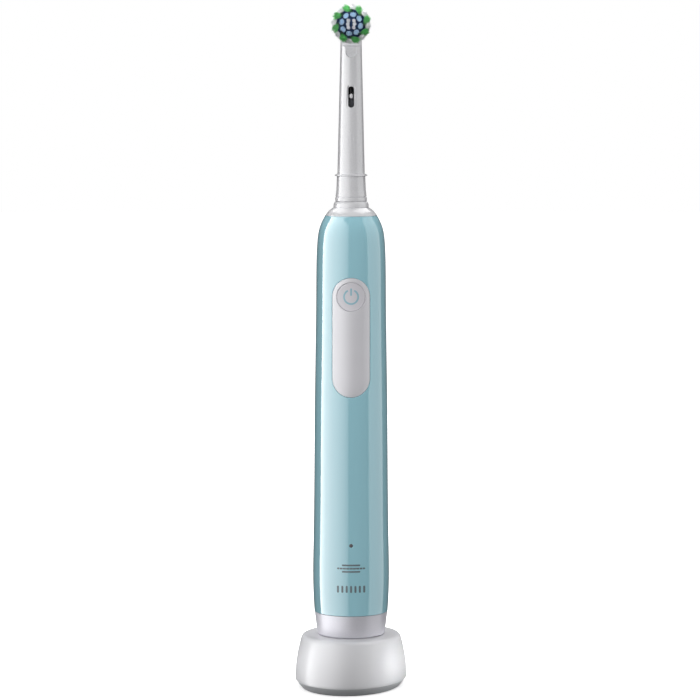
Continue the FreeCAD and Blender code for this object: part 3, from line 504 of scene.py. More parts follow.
# ---------------------------------------------------------------- surfaces of revolution
class Profile:
    """Radius over height: the natural cubic spline through the given (height, radius) points."""

    def __init__(self, points):
        self.points = points
        n = len(points)
        second, work = [0.0] * n, [0.0] * n
        for i in range(1, n - 1):
            (x0, y0), (x1, y1), (x2, y2) = points[i - 1:i + 2]
            share = (x1 - x0) / (x2 - x0)
            p = share * second[i - 1] + 2
            second[i] = (share - 1) / p
            bend = (y2 - y1) / (x2 - x1) - (y1 - y0) / (x1 - x0)
            work[i] = (6 * bend / (x2 - x0) - share * work[i - 1]) / p
        for i in range(n - 2, -1, -1):
            second[i] = second[i] * second[i + 1] + work[i]
        self.second = second

    def __call__(self, z):
        points, second = self.points, self.second
        z = min(max(z, points[0][0]), points[-1][0])
        i = max(k for k in range(len(points) - 1) if points[k][0] <= z)
        (x0, y0), (x1, y1) = points[i], points[i + 1]
        h = x1 - x0
        a, b = (x1 - z) / h, (z - x0) / h
        return a * y0 + b * y1 + ((a ** 3 - a) * second[i] + (b ** 3 - b) * second[i + 1]) * h * h / 6

    def front(self, x, z, inset=0.0):
        """The point of the front surface at this x and z, drawn in by the inset."""
        r = self(z) - inset
        return Vector((x, -math.sqrt(max(r * r - x * x, 0.0)), z))


def body_profile(shoulder_len):
    """The body's side: fullest low down, slimmer at the shoulder, then rounded in to the nose."""
    shoulder = body_high.z - shoulder_len
    run = shoulder - body_low.z
    widest = handle_r - 0.01 * MM
    top_in = widest - 1.55 * MM - nose_high.x
    drawn_in = [(0, 0.40), (0.054, 0), (0.2, 0.08), (0.52, 0.535), (0.88, 1.19), (1, 1.55)]
    points = [(body_low.z + run * share, widest - drawn * MM) for share, drawn in drawn_in]
    for share, part in ((0.41, 0.16), (0.73, 0.5), (1, 1)):
        points.append((shoulder + shoulder_len * share, widest - 1.55 * MM - top_in * part))
    return Profile(points)


def neck_profile():
    """The neck's side, from the ring to where it stands upright behind the disc."""
    low, high = ring_high.z - 0.75 * MM, disc_z - 7 * MM
    return Profile([(low, 5.07 * MM), ((low + high) / 2, 4.485 * MM), (high, 3.9 * MM)])


def stitch(faces, a, b):
    """Faces between two closed loops of points."""
    count = len(a)
    for j in range(count):
        n = (j + 1) % count
        faces.append([a[j], a[n], b[n], b[j]])


def body_grid(profile, points, rows, inset, holes):
    """Adds rows of points round the body, with faces between them but none in the holes.
    A hole is (first row, last row, columns to each side of the front)."""
    starts, faces = [], []
    for z in rows:
        starts.append(len(points))
        r = profile(z) - inset
        for j in range(AROUND):
            a = 2 * math.pi * j / AROUND
            points.append(Vector((r * math.sin(a), -r * math.cos(a), z)))
    for i in range(len(rows) - 1):
        for j in range(AROUND):
            n = (j + 1) % AROUND
            if not any(low <= i < high and (j + half) % AROUND < 2 * half for low, high, half in holes):
                faces.append([starts[i] + j, starts[i] + n, starts[i + 1] + n, starts[i + 1] + j])
    return starts, faces


def hole_border(starts, hole):
    low, high, half = hole
    border = [starts[low] + j % AROUND for j in range(-half, half)]
    border += [starts[k] + half for k in range(low, high)]
    border += [starts[high] + j % AROUND for j in range(half, -half, -1)]
    return border + [starts[k] + AROUND - half for k in range(high, low, -1)]


def pill_edge(radius, z_low, z_high, toward):
    """Points of an upright pill's edge, each in the direction of one of the given (x, z) points."""
    out = []
    for x, z in toward:
        spine = min(max(z, z_low), z_high)
        d = Vector((x, z - spine)).normalized() * radius
        out.append((d.x, spine + d.y))
    return out


def edge_loops(front, edge_at, round_r, deep, side, proud=0.0):
    """Loops over a rounded edge and down into the seam. front(x, z, inset) is the surface, and
    edge_at(offset) gives the edge's (x, z) points, drawn out by the offset. Side is 1 where the material lies
    outside the edge and -1 where it lies inside. The surface stands proud of the front by the last value."""
    loops = []
    for k in range(ROUND_STEPS + 1):
        a = math.pi / 2 * k / ROUND_STEPS
        drop = round_r * (1 - math.cos(a)) - proud
        loops.append([front(x, z, drop) for x, z in edge_at(side * round_r * (1 - math.sin(a)))])
    loops.append([front(x, z, deep) for x, z in edge_at(0.0)])
    return loops


def stroke(path, width, ends=5):
    """Rows of (x, z) points across a round-ended line of this width along the path."""
    half = width / 2
    path = [Vector(p) for p in path]
    rows = []

    def cross(p, d, h, shift):
        side = Vector((-d.y, d.x))
        rows.append([p + d * shift + side * h * u for u in (-1, -0.5, 0, 0.5, 1)])

    first, last = (path[1] - path[0]).normalized(), (path[-1] - path[-2]).normalized()
    for k in range(ends):
        a = math.pi / 2 * k / ends
        cross(path[0], first, half * math.sin(a), -half * math.cos(a))
    for i, p in enumerate(path):
        cross(p, (path[min(i + 1, len(path) - 1)] - path[max(i - 1, 0)]).normalized(), half, 0.0)
    for k in range(ends - 1, -1, -1):
        a = math.pi / 2 * k / ends
        cross(path[-1], last, half * math.sin(a), half * math.cos(a))
    return rows


def raised(name, strokes, surface, proud, sink):
    """Strokes as one object: each a thin slab from the sunk side to the proud side of the surface."""
    points, faces = [], []
    for rows in strokes:
        wide = len(rows[0])
        top = len(points)
        points += [surface(x, z, -proud) for row in rows for x, z in row]
        low = len(points)
        points += [surface(x, z, sink) for row in rows for x, z in row]
        for i in range(len(rows) - 1):
            for j in range(wide - 1):
                a = i * wide + j
                faces.append([top + a, top + a + 1, top + a + wide + 1, top + a + wide])
                faces.append([low + a, low + a + wide, low + a + wide + 1, low + a + 1])
            a, b = i * wide, i * wide + wide - 1
            faces.append([top + a, top + a + wide, low + a + wide, low + a])
            faces.append([top + b, low + b, low + b + wide, top + b + wide])
    return mesh_object(name, points, faces)


def arc_path(x, z, radius, start, end, steps):
    """Points of an arc, its angles in degrees from +X towards +Z."""
    angles = [math.radians(start + (end - start) * k / steps) for k in range(steps + 1)]
    return [(x + radius * math.cos(a), z + radius * math.sin(a)) for a in angles]


def bend(a, middle, b, steps=10):
    """Points of a curve from a to b by way of the middle point."""
    a, middle, b = Vector(a), Vector(middle), Vector(b)
    c = middle * 2 - (a + b) / 2
    return [a * (1 - t) ** 2 + c * 2 * t * (1 - t) + b * t * t for t in (k / steps for k in range(steps + 1))]


def cut_with(made, cutters, bevel_mm=0.0):
    """Cuts the cutters out of the piece, rounds the new edges and leaves a plain mesh."""
    for cutter in cutters:
        tool = made.modifiers.new("cut", "BOOLEAN")
        tool.operation, tool.solver, tool.object = "DIFFERENCE", "EXACT", cutter
    if bevel_mm:
        tool = made.modifiers.new("edge", "BEVEL")
        tool.width, tool.segments, tool.limit_method = bevel_mm * MM, 3, "ANGLE"
        tool.angle_limit = math.radians(40)
        tool.use_clamp_overlap = True
    plain(made)
    for cutter in cutters:
        bpy.data.objects.remove(cutter)
    smooth(made.data)


def plain(made):
    """The modifiers' result as the object's own mesh."""
    bpy.context.view_layer.update()
    graph = bpy.context.evaluated_depsgraph_get()
    mesh = bpy.data.meshes.new_from_object(made.evaluated_get(graph))
    made.modifiers.clear()
    made.data = mesh


along_y = Matrix.Rotation(math.radians(90), 4, "X")    # turns +Z to -Y


# ---------------------------------------------------------------- the handle
class TOOTHBRUSH_OT_housing(bpy.types.Operator):
    """Body shell, with the openings for the inlay and the charge light"""
    bl_idname = "toothbrush.housing"
    bl_label = "Body shell"

    def execute(self, context):
        shoulder = context.scene.toothbrush_sizes.shoulder
        profile = body_profile(shoulder)
        wall = 1.6 * MM
        lip = 0.14 * MM          # rounding of the tube's two ends
        pad = 1.6 * MM           # skin that runs from the even rows to an opening's edge
        low, high = body_low.z + lip, body_high.z - lip
        stops = [(low, 8), (low + 8 * MM, 16), (light_z - pad, 6), (light_z + pad, 40),
                 (panel_low.z - pad, 60), (panel_high.z + pad, 10), (body_high.z - shoulder, 30), (high, 0)]
        rows, marks = [], []
        for (z, steps), (z_next, _) in zip(stops, stops[1:]):
            marks.append(len(rows))
            rows += [z + (z_next - z) * k / steps for k in range(steps)]
        rows.append(high)
        holes = [(marks[4], marks[5], 18), (marks[2], marks[3], 3)]
        light_r = 0.7 * MM
        spines = [(panel_r, panel_low.z + panel_r, panel_high.z - panel_r), (light_r, light_z, light_z)]
        points = []
        outer, faces = body_grid(profile, points, rows, 0.0, holes)
        inner, inner_faces = body_grid(profile, points, rows, wall, holes)
        faces += inner_faces
        for hole, (radius, z_low, z_high) in zip(holes, spines):
            border = hole_border(outer, hole)
            flat = [(points[i].x, points[i].z) for i in border]
            round_r = 0.05 * MM if radius == light_r else 0.2 * MM

            def opening(offset):
                return pill_edge(radius + offset, z_low, z_high, flat)

            rim = opening(round_r)
            last = border
            loops = []
            for t in (0.25, 0.5, 0.75):
                loops.append([profile.front(x0 + (x1 - x0) * t, z0 + (z1 - z0) * t)
                              for (x0, z0), (x1, z1) in zip(flat, rim)])
            for loop in loops + edge_loops(profile.front, opening, round_r, wall, 1):
                now = list(range(len(points), len(points) + len(loop)))
                points += loop
                stitch(faces, last, now)
                last = now
            stitch(faces, last, hole_border(inner, hole))
        for start, back, z, way in ((outer[0], inner[0], low, -1), (outer[-1], inner[-1], high, 1)):
            last = list(range(start, start + AROUND))
            for k in range(1, ROUND_STEPS + 1):
                a = math.pi / 2 * k / ROUND_STEPS
                r = profile(z) - lip * (1 - math.cos(a))
                now = list(range(len(points), len(points) + AROUND))
                for j in range(AROUND):
                    b = 2 * math.pi * j / AROUND
                    points.append(Vector((r * math.sin(b), -r * math.cos(b), z + way * lip * math.sin(a))))
                stitch(faces, last, now)
                last = now
            stitch(faces, last, list(range(back, back + AROUND)))
        made = mesh_object("body_shell", points, faces)
        finish_piece(made, "body", "handle", "body_turquoise", "handle_housing")
        return {"FINISHED"}


class TOOTHBRUSH_OT_inlay(bpy.types.Operator):
    """Soft pill-shaped inlay round the button, slightly proud of the body"""
    bl_idname = "toothbrush.inlay"
    bl_label = "Soft inlay"

    def execute(self, context):
        s = context.scene.toothbrush_sizes
        profile = body_profile(s.shoulder)
        z_low, z_high = panel_low.z + panel_r, panel_high.z - panel_r
        arc, side = 36, 60
        toward = []
        for k in range(arc):
            a = math.pi * k / arc
            toward.append((math.cos(a), z_high + math.sin(a)))
        toward += [(-1.0, z_high + (z_low - z_high) * k / side) for k in range(side)]
        for k in range(arc):
            a = math.pi * (1 + k / arc)
            toward.append((math.cos(a), z_low + math.sin(a)))
        toward += [(1.0, z_low + (z_high - z_low) * k / side) for k in range(side)]

        def rim(offset):
            return pill_edge(panel_r - s.seam + offset, z_low, z_high, toward)

        def front(x, z, inset=0.0):
            share = math.hypot(x, z - min(max(z, z_low), z_high)) / panel_r
            return profile.front(x, z, inset - s.inlay_dome * max(0.0, 1 - share ** 2))

        def eye(offset):
            out = []
            for x, z in rim(0.0):
                d = Vector((x, z - button_z)).normalized() * (button_r + s.seam + offset)
                out.append((d.x, button_z + d.y))
            return out

        rim_round, eye_round, deep = 0.35 * MM, 0.2 * MM, 1.5 * MM
        outer = edge_loops(front, rim, rim_round, deep, -1, s.inlay_crown)
        inner = edge_loops(front, eye, eye_round, deep, 1, s.inlay_crown)
        flat_a, flat_b = rim(-rim_round), eye(eye_round)
        steps = 20
        between = []
        for k in range(1, steps):
            t = k / steps
            between.append([front(x0 + (x1 - x0) * t, z0 + (z1 - z0) * t, -s.inlay_crown)
                            for (x0, z0), (x1, z1) in zip(flat_a, flat_b)])
        made = loft("soft_inlay", outer[::-1] + between + inner, True)
        finish_piece(made, "inlay", "handle", "panel_white", "button_panel")
        return {"FINISHED"}


def button_surface(sizes):
    """The button's face as a function of x, z and inset: the body's curve with a shallow dish."""
    profile = body_profile(sizes.shoulder)

    def surface(x, z, inset=0.0):
        share = min(math.hypot(x, z - button_z) / button_r, 1.0)
        return profile.front(x, z, inset - 0.1 * MM + sizes.button_dish * (1 - share ** 2))
    return surface


class TOOTHBRUSH_OT_button(bpy.types.Operator):
    """Round power button with its finger dish and stem"""
    bl_idname = "toothbrush.button"
    bl_label = "Power button"

    def execute(self, context):
        surface = button_surface(context.scene.toothbrush_sizes)
        turn = turns(96)

        def ring(r, inset):
            return [surface(r * math.cos(a), button_z + r * math.sin(a), inset) for a in turn]

        round_r, skirt = 0.3 * MM, 1.3 * MM
        loops = [[surface(0.0, button_z)]]
        loops += [ring((button_r - round_r) * k / 14, 0.0) for k in range(1, 15)]
        for k in range(1, ROUND_STEPS + 1):
            a = math.pi / 2 * k / ROUND_STEPS
            loops.append(ring(button_r - round_r * (1 - math.sin(a)), round_r * (1 - math.cos(a))))
        stem_r, stem_end = 1.5 * MM, button_high.y
        loops += [ring(button_r, skirt), ring(stem_r, skirt)]
        loops.append([Vector((stem_r * math.cos(a), stem_end, button_z + stem_r * math.sin(a)))
                      for a in turn])
        loops.append([Vector((0, stem_end, button_z))])
        made = loft("power_button_cap", loops)
        finish_piece(made, "button", "button", "button_grey", "power_button")
        return {"FINISHED"}


class TOOTHBRUSH_OT_icon(bpy.types.Operator):
    """Power symbol: an open ring with an upright bar in its gap"""
    bl_idname = "toothbrush.icon"
    bl_label = "Power symbol"

    def execute(self, context):
        s = context.scene.toothbrush_sizes
        width = s.icon_line
        radius = (icon_high.x - icon_low.x - width) / 2
        ring = arc_path(0.0, button_z, radius, 122, 418, 60)
        bar_low, bar_top = button_z + 0.75 * MM, button_z + radius + width * 0.4
        bar = [(0.0, bar_low + (bar_top - bar_low) * k / 8) for k in range(9)]
        made = raised("power_symbol", [stroke(ring, width), stroke(bar, width)], button_surface(s),
                      0.03 * MM, 0.1 * MM)
        finish_piece(made, "icon", "button", "icon_teal", "button_icon")
        return {"FINISHED"}


class TOOTHBRUSH_OT_light(bpy.types.Operator):
    """Domed end of the charge light's pipe"""
    bl_idname = "toothbrush.light"
    bl_label = "Charge light"

    def execute(self, context):
        profile = body_profile(context.scene.toothbrush_sizes.shoulder)
        r, back, rim = mm(light_high.x), mm(-light_high.y), mm(profile(light_z)) - 0.12
        outline = [(0, back), (r, back), (r, rim)]
        outline += [(r * math.cos(a), rim + 0.14 * math.sin(a))
                    for a in (math.radians(15 * k) for k in range(1, 7))]
        made = lathe("charge_light_lens", outline, 40, Matrix.Translation((0, 0, light_z)) @ along_y)
        finish_piece(made, "light", "handle", "light_clear", "charge_light")
        return {"FINISHED"}


class TOOTHBRUSH_OT_marks(bpy.types.Operator):
    """Plain printed marks low on the body"""
    bl_idname = "toothbrush.marks"
    bl_label = "Printed marks"

    def execute(self, context):
        profile = body_profile(context.scene.toothbrush_sizes.shoulder)
        strokes = []
        lines_z, line_step, bars_z, bar_step = 44.9, 1.2, 37.4, 1.62
        for k, half in enumerate((3.1, 4.9, 3.1)):
            z = (lines_z + line_step * k) * MM
            strokes.append(stroke([(half * MM * u / 4, z) for u in range(-4, 5)], 0.62 * MM))
        for k in range(7):
            x = (k - 3) * bar_step * MM
            strokes.append(stroke([(x, (bars_z + 0.47 * u) * MM) for u in range(5)], 0.75 * MM))
        made = raised("printed_marks", strokes, profile.front, 0.012 * MM, 0.05 * MM)
        finish_piece(made, "mark", "handle", "icon_teal")
        return {"FINISHED"}


class TOOTHBRUSH_OT_nose(bpy.types.Operator):
    """White nose cone with its collar and spigot"""
    bl_idname = "toothbrush.nose"
    bl_label = "Nose"

    def execute(self, context):
        top_r, body_top = mm(nose_high.x), mm(body_high.z)
        cone_r, cone_top, collar_r, collar_top = 6.65, body_top + 3.0, 6.5, body_top + 5.4
        spigot_r, spigot_top, bore_r = 3.4, mm(nose_high.z), 2.3
        low, skirt_r = mm(nose_low.z), top_r - 1.65
        cone = bend((top_r - 0.06, body_top + 0.2), ((top_r + cone_r) / 2 + 0.2, body_top + 1.65),
                    (cone_r + 0.06, cone_top - 0.08))
        collar = bend((collar_r, cone_top + 0.22), (collar_r - 0.12, collar_top - 1.0),
                      (5.85, collar_top - 0.2))
        outline = [(bore_r, low), (skirt_r, low, 0.2), (skirt_r, body_top)]
        outline += [(top_r - 0.22, body_top), (top_r - 0.1, body_top + 0.06)]
        outline += [tuple(p) for p in cone] + [(cone_r - 0.02, cone_top), (cone_r - 0.4, cone_top + 0.02)]
        outline += [(cone_r - 0.4, cone_top + 0.14), (collar_r - 0.04, cone_top + 0.16)]
        outline += [tuple(p) for p in collar] + [(5.75, collar_top - 0.04), (5.5, collar_top)]
        outline += [(spigot_r, collar_top), (spigot_r, spigot_top, 0.4), (2.7, spigot_top, 0.1)]
        outline += [(2.7, collar_top - 1), (bore_r, collar_top - 1)]
        made = lathe("nose_cone", rounded(outline))
        finish_piece(made, "white", "handle", "nose_white", "nose_collar")
        return {"FINISHED"}


class TOOTHBRUSH_OT_cap(bpy.types.Operator):
    """Silver bottom cap with its plug, O-ring groove and blind socket"""
    bl_idname = "toothbrush.cap"
    bl_label = "Bottom cap"

    def execute(self, context):
        foot_r, low_r = mm(cap_high.x), mm(cap_high.x) - 1.05
        z0, z1, top = mm(cap_low.z), mm(body_low.z), mm(cap_high.z)
        plug_len, socket_r, socket_wall, roof = 5.2, 5.6, 1.1, 1.1
        plug_r, plug_top, groove = foot_r - 1.65, z1 + plug_len, z1 + plug_len * 0.45
        groove_r = foot_r - 1.6 - 2 * 0.58 - 0.05
        outline = [(socket_r, z0, 0.25), (low_r, z0, 1.1), (foot_r, z1 - 0.12, 0.2), (plug_r, z1 - 0.12)]
        outline += [(plug_r, groove - 0.75), (groove_r, groove - 0.75), (groove_r, groove + 0.75)]
        outline += [(plug_r, groove + 0.75), (plug_r, plug_top, 0.3), (plug_r - 1.5, plug_top)]
        outline += [(plug_r - 1.5, z0 + 2.2), (socket_r + socket_wall, z0 + 2.2)]
        outline += [(socket_r + socket_wall, top, 0.3), (0.0, top), (0.0, top - roof)]
        outline += [(socket_r, top - roof, 0.3)]
        made = lathe("silver_cap", rounded(outline))
        finish_piece(made, "silver", "handle", "cap_silver", "bottom_cap")
        return {"FINISHED"}


# ---------------------------------------------------------------- the charger
class TOOTHBRUSH_OT_charger(bpy.types.Operator):
    """Charger shell with its post, and the bevelled base plate below"""
    bl_idname = "toothbrush.charger"
    bl_label = "Charger"

    def execute(self, context):
        s = context.scene.toothbrush_sizes
        swing = Matrix.Rotation(s.charger_turn, 4, "Z")
        turn = turns(180)
        half_w, half_d = 20.5, 25.4          # the foot's oval
        draw_w, draw_d = 2.3, 5.8            # how much slimmer the deck is
        wall, post_r, edge = 2.0, 5.2, 0.12

        def oval(w, d, z):
            return [swing @ Vector((w * MM * math.cos(a), d * MM * math.sin(a), z * MM)) for a in turn]

        z0, z1 = mm(plate_top), mm(deck_z)
        round_mm = mm(s.deck_round)
        steps = 18

        def size(z, inset):
            t = (z - z0) / (z1 - z0)
            return half_w - draw_w * t * t - inset, half_d - draw_d * t * t - inset

        loops = [oval(*size(z0 + edge, edge), z0), oval(*size(z0 + edge, 0.035), z0 + 0.035)]
        high = z1 - round_mm
        for k in range(steps + 1):
            z = z0 + edge + (high - z0 - edge) * k / steps
            loops.append(oval(*size(z, 0), z))
        start, corner = Vector(size(high, 0) + (high,)), Vector(size(z1, 0) + (z1,))
        end = Vector((corner.x - round_mm, corner.y - round_mm, z1))
        for k in range(1, 10):
            t = k / 9
            p = start * (1 - t) ** 2 + corner * 2 * t * (1 - t) + end * t * t
            loops.append(oval(p.x, p.y, p.z))
        post_top, post_round, bore = mm(shell_high.z), 0.6, post_r - 1.0
        for t in (0.25, 0.5, 0.75, 1.0):
            r = post_r + 0.9
            loops.append(oval(end.x + (r - end.x) * t, end.y + (r - end.y) * t, z1))
        post = [(post_r + 0.5, z1 + 0.1), (post_r + 0.2, z1 + 0.32), (post_r, z1 + 0.9)]
        post += [(post_r, post_top - post_round)]
        post += [(post_r - post_round * (1 - math.cos(a)), post_top - post_round * (1 - math.sin(a)))
                 for a in (math.radians(18 * k) for k in range(1, 6))]
        post += [(bore, post_top), (0.0, post_top), (0.0, post_top - 1.0), (bore, post_top - 1.0)]
        post += [(bore, z1 - wall)]
        for r, z in post:
            loops.append(oval(r, r, z) if r else [Vector((0, 0, z * MM))])
        for k in range(7):
            z = z1 - wall + (z0 - z1 + wall) * k / 6
            loops.append(oval(*size(z, wall), z))
        shell = loft("charger_cover", loops, True)
        rear = swing @ Vector((0, 1, 0))
        gland_r, gland_z = 2.68, 7.5 * MM
        aim = rear.to_track_quat("Z", "Y").to_matrix().to_4x4()
        hole = lathe("hole", [(0, 15), (gland_r, 15), (gland_r, 30), (0, 30)], 48,
                     Matrix.Translation((0, 0, gland_z)) @ aim)
        cut_with(shell, [hole])
        finish_piece(shell, "charger", "charger", "shell_white", "charger_shell")

        bevel, tray, rim, ring_top = 2.3, 2.1, 1.4, z0 + 1.6
        foot = [(bevel + 1.6, 0.35), (bevel + 1.3, 0.0), (bevel + 0.25, 0.0), (bevel, 0.1)]
        foot += [(0.14, z0 - 0.24), (0.03, z0 - 0.1), (0.16, z0)]
        loops = [[Vector((0, 0, 0.35 * MM))]]
        foot += [(tray, z0), (tray, ring_top), (tray + rim, ring_top), (tray + rim, z0)]
        loops += [oval(half_w - inset, half_d - inset, z) for inset, z in foot]
        for r, z in ((3.8, z0), (3.8, z0 + 2.4), (2.45, z0 + 2.4), (2.45, z0 - 0.6)):
            loops.append(oval(r, r, z))
        loops.append([Vector((0, 0, (z0 - 0.6) * MM))])
        plate = loft("base_plate", loops)
        finish_piece(plate, "plate", "charger", "plate_grey", "charger_base_plate")
        return {"FINISHED"}


# ---------------------------------------------------------------- the brush head
class TOOTHBRUSH_OT_ring(bpy.types.Operator):
    """Ring at the foot of the neck, with its rim, groove and thin flange"""
    bl_idname = "toothbrush.ring"
    bl_label = "Neck ring"

    def execute(self, context):
        z0, z1 = mm(ring_low.z), mm(ring_high.z)
        bore_r, rim_r, groove_r = 4.6, 5.83, 5.45
        outline = [(bore_r, z0, 0.1), (rim_r, z0, 0.25), (rim_r, z0 + 1.32, 0.1), (groove_r, z0 + 1.42)]
        outline += [(groove_r, z0 + 1.56), (5.75, z0 + 1.68, 0.1)]
        outline += [(5.45, z0 + 3.85, 1.2), (5.25, z1 - 1.5), (5.25, z1 - 0.87, 0.1), (6.05, z1 - 0.6, 0.12)]
        outline += [(6.0, z1 - 0.36, 0.12), (5.17, z1, 0.1), (5.13, z1 - 0.75), (bore_r, z1 - 0.81)]
        made = lathe("neck_ring", rounded(outline))
        finish_piece(made, "head", "brush_head", "head_white", "id_ring")
        return {"FINISHED"}


class TOOTHBRUSH_OT_neck(bpy.types.Operator):
    """Neck tube with its window, its scooped front and the way through for the drive"""
    bl_idname = "toothbrush.neck"
    bl_label = "Neck"

    def execute(self, context):
        side = neck_profile()
        low, high = side.points[0][0], side.points[-1][0]
        top, middle, bore_r = mm(neck_high.z), mm(disc_z), 1.65
        rows = 70
        outline = [(mm(side(z)), mm(z)) for z in (low + (high - low) * k / rows for k in range(rows + 1))]
        outline += [(3.85, middle)]
        outline += [tuple(p) for p in bend((3.85, middle + 0.3), (3.25, top - 1.35), (0.0, top), 14)][:-1]
        outline += [(0.0, top), (0.0, top - 1.6), (bore_r, top - 3.4), (bore_r, middle - 8)]
        foot, socket_r, socket_top = mm(neck_low.z), 3.5, mm(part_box("ram_socket")[1].z) + 1.5
        outline += [(socket_r, socket_top), (socket_r, foot, 0.1), (4.55, foot, 0.1), (4.55, mm(low))]
        made = lathe("neck_tube", rounded(outline))
        flat, disc_foot = mm(-(disc_high.y + 0.3 * MM)), mm(disc_z - disc_r)
        cutters = [self.scoop(disc_foot - 2.6, disc_foot - 0.4, flat, top)]
        window, ball = middle - WINDOW_DOWN, middle - BALL_DOWN
        slot_low, slot_high, mouth = window - 2.8, window + 2.8, -mm(side(high))
        cutters.append(self.slot("window", slot_low, slot_high, ((-8, 1.1), (-1.7, 1.1))))
        cutters.append(self.slot("window_mouth", slot_low, slot_high,
                                 ((mouth - 0.3, 1.85), (mouth + 0.5, 1.05))))
        cutters.append(self.slot("ball_way", ball, ball + 0.01, ((-6, 1.75), (0, 1.75))))
        tongue_z = disc_foot - 3.2
        cutters.append(self.slot("tongue", tongue_z, tongue_z + 6, ((-8, 2.0), (-3.25, 2.0), (-3.0, 1.8))))
        axle_r = 0.82
        axle = lathe("axle_hole", [(0, -2.45), (axle_r, -2.45), (axle_r, 6), (0, 6)], 32,
                     Matrix.Translation((0, 0, disc_z)) @ along_y)
        cutters.append(axle)
        cut_with(made, cutters, 0.16)
        finish_piece(made, "head", "brush_head", "head_white", "neck")
        return {"FINISHED"}

    def scoop(self, start, level, flat, top):
        """What is cut away in front of the disc: a hollow ramp that levels out into the flat."""
        ramp = curve_through([(-4.6, start - 1.2), (-3.72, start + 0.3), (-2.75, (start + level) / 2 + 0.5),
                              (-flat, level), (-flat, level + 3.0)], 8)
        ramp = [tuple(p) for p in ramp] + [(-flat, top + 2), (-9, top + 2), (-9, start - 1.2)]
        loops = [[Vector((x * MM, y * MM, z * MM)) for y, z in ramp] for x in (-8, 8)]
        points = loops[0] + loops[1]
        count = len(ramp)
        faces = [list(range(count)), list(range(2 * count - 1, count - 1, -1))]
        stitch(faces, list(range(count)), list(range(count, 2 * count)))
        return mesh_object("scoop", points, faces)

    def slot(self, name, z_low, z_high, sections):
        """A pill-shaped plug across the neck's wall, with its radius at each depth."""
        loops = []
        for y, r in sections:
            loop = []
            for a in turns(64):
                z = (z_high if a < math.pi else z_low) + r * math.sin(a)
                loop.append(Vector((r * math.cos(a) * MM, y * MM, z * MM)))
            loops.append(loop)
        middle = (z_low + z_high) / 2 * MM
        ends = [[Vector((0, sections[k][0] * MM, middle))] for k in (0, -1)]
        return loft(name, [ends[0]] + loops + [ends[1]])


class TOOTHBRUSH_OT_head_marks(bpy.types.Operator):
    """Raised marks low on the neck"""
    bl_idname = "toothbrush.head_marks"
    bl_label = "Neck marks"

    def execute(self, context):
        side = neck_profile()
        strokes = []
        marks_z, apart, width = 204, 1.15 * MM, 0.42 * MM
        for k, half in enumerate((1.76, 2.4, 1.76)):
            x = (k - 1) * apart
            strokes.append(stroke([(x, (marks_z + half * u / 4) * MM) for u in range(-4, 5)], width))
        made = raised("raised_marks", strokes, side.front, 0.1 * MM, 0.1 * MM)
        finish_piece(made, "head", "brush_head", "head_white")
        return {"FINISHED"}


class TOOTHBRUSH_OT_ram(bpy.types.Operator):
    """Drive rod in the neck with its ball, and the sleeves and the white bead that show in the window; the
    gloss black sleeve above the bead is painted shade for the window's dark top
    """
    bl_idname = "toothbrush.ram"
    bl_label = "Drive rod"

    def execute(self, context):
        low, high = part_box("ram_shaft")
        window = mm(disc_z) - WINDOW_DOWN
        ball_place = Matrix.Translation((0, 0, disc_z - BALL_DOWN * MM)) @ along_y
        r, sleeve_r, upper_r, arm_r, ball_r, bead_r = 1.05, 1.5, 1.35, 0.45, 0.6, 0.62
        outline = [(0, mm(low.z)), (r, mm(low.z)), (r, mm(high.z), 0.2), (0, mm(high.z))]
        rod = lathe("drive_rod", rounded(outline), 40)
        outline = [(0, 0), (arm_r, 0), (arm_r, 2.5)]
        outline += [(ball_r * math.cos(a), 3.0 + ball_r * math.sin(a))
                    for a in (math.radians(15 * k) for k in range(-3, 6))]
        arm = lathe("arm", outline + [(0, 3.0 + ball_r)], 32, ball_place)
        join_meshes(rod, arm)
        finish_piece(rod, "steel", "ram", "shaft_steel", "ram_shaft")
        outline = [(r, window - 9.0), (sleeve_r, window - 9.0, 0.2), (sleeve_r, window - 1.7, 0.15)]
        outline += [(sleeve_r - 0.25, window - 1.6, 0.1), (sleeve_r - 0.25, window - 0.7), (r, window - 0.5)]
        collar = lathe("dark_sleeve", rounded(outline), 48)
        finish_piece(collar, "chassis", "ram", "rubber_dark")
        # gloss black sleeve above the bead: painted shade for the dark top of the window, with a real
        # highlight down it
        outline = [(r, window + 1.0), (upper_r, window + 1.0, 0.15), (upper_r, window + 5.0, 0.15)]
        shade_sleeve = lathe("window_shade_sleeve", rounded(outline + [(r, window + 5.0)]), 48)
        finish_piece(shade_sleeve, "gloss_black", "ram", "rubber_dark")
        outline = [(0, 0.2), (bead_r, 0.2)]
        outline += [(bead_r * math.cos(a), 2.1 + 0.35 * math.sin(a))
                    for a in (math.radians(15 * k) for k in range(6))]
        tall = Matrix.Diagonal((1.0, 1.0, 1.45, 1.0))
        bead = lathe("white_bead", outline + [(0, 2.45)], 40,
                     Matrix.Translation((0, 0, (window + 0.35) * MM)) @ tall @ along_y)
        finish_piece(bead, "lit_acetal", "ram", "head_white")
        return {"FINISHED"}


def join_meshes(made, *others):
    """Adds the other pieces' meshes to the first one's."""
    bm = bmesh.new()
    for one in (made,) + others:
        bm.from_mesh(one.data)
    bm.to_mesh(made.data)
    bm.free()
    smooth(made.data)
    for one in others:
        bpy.data.objects.remove(one)


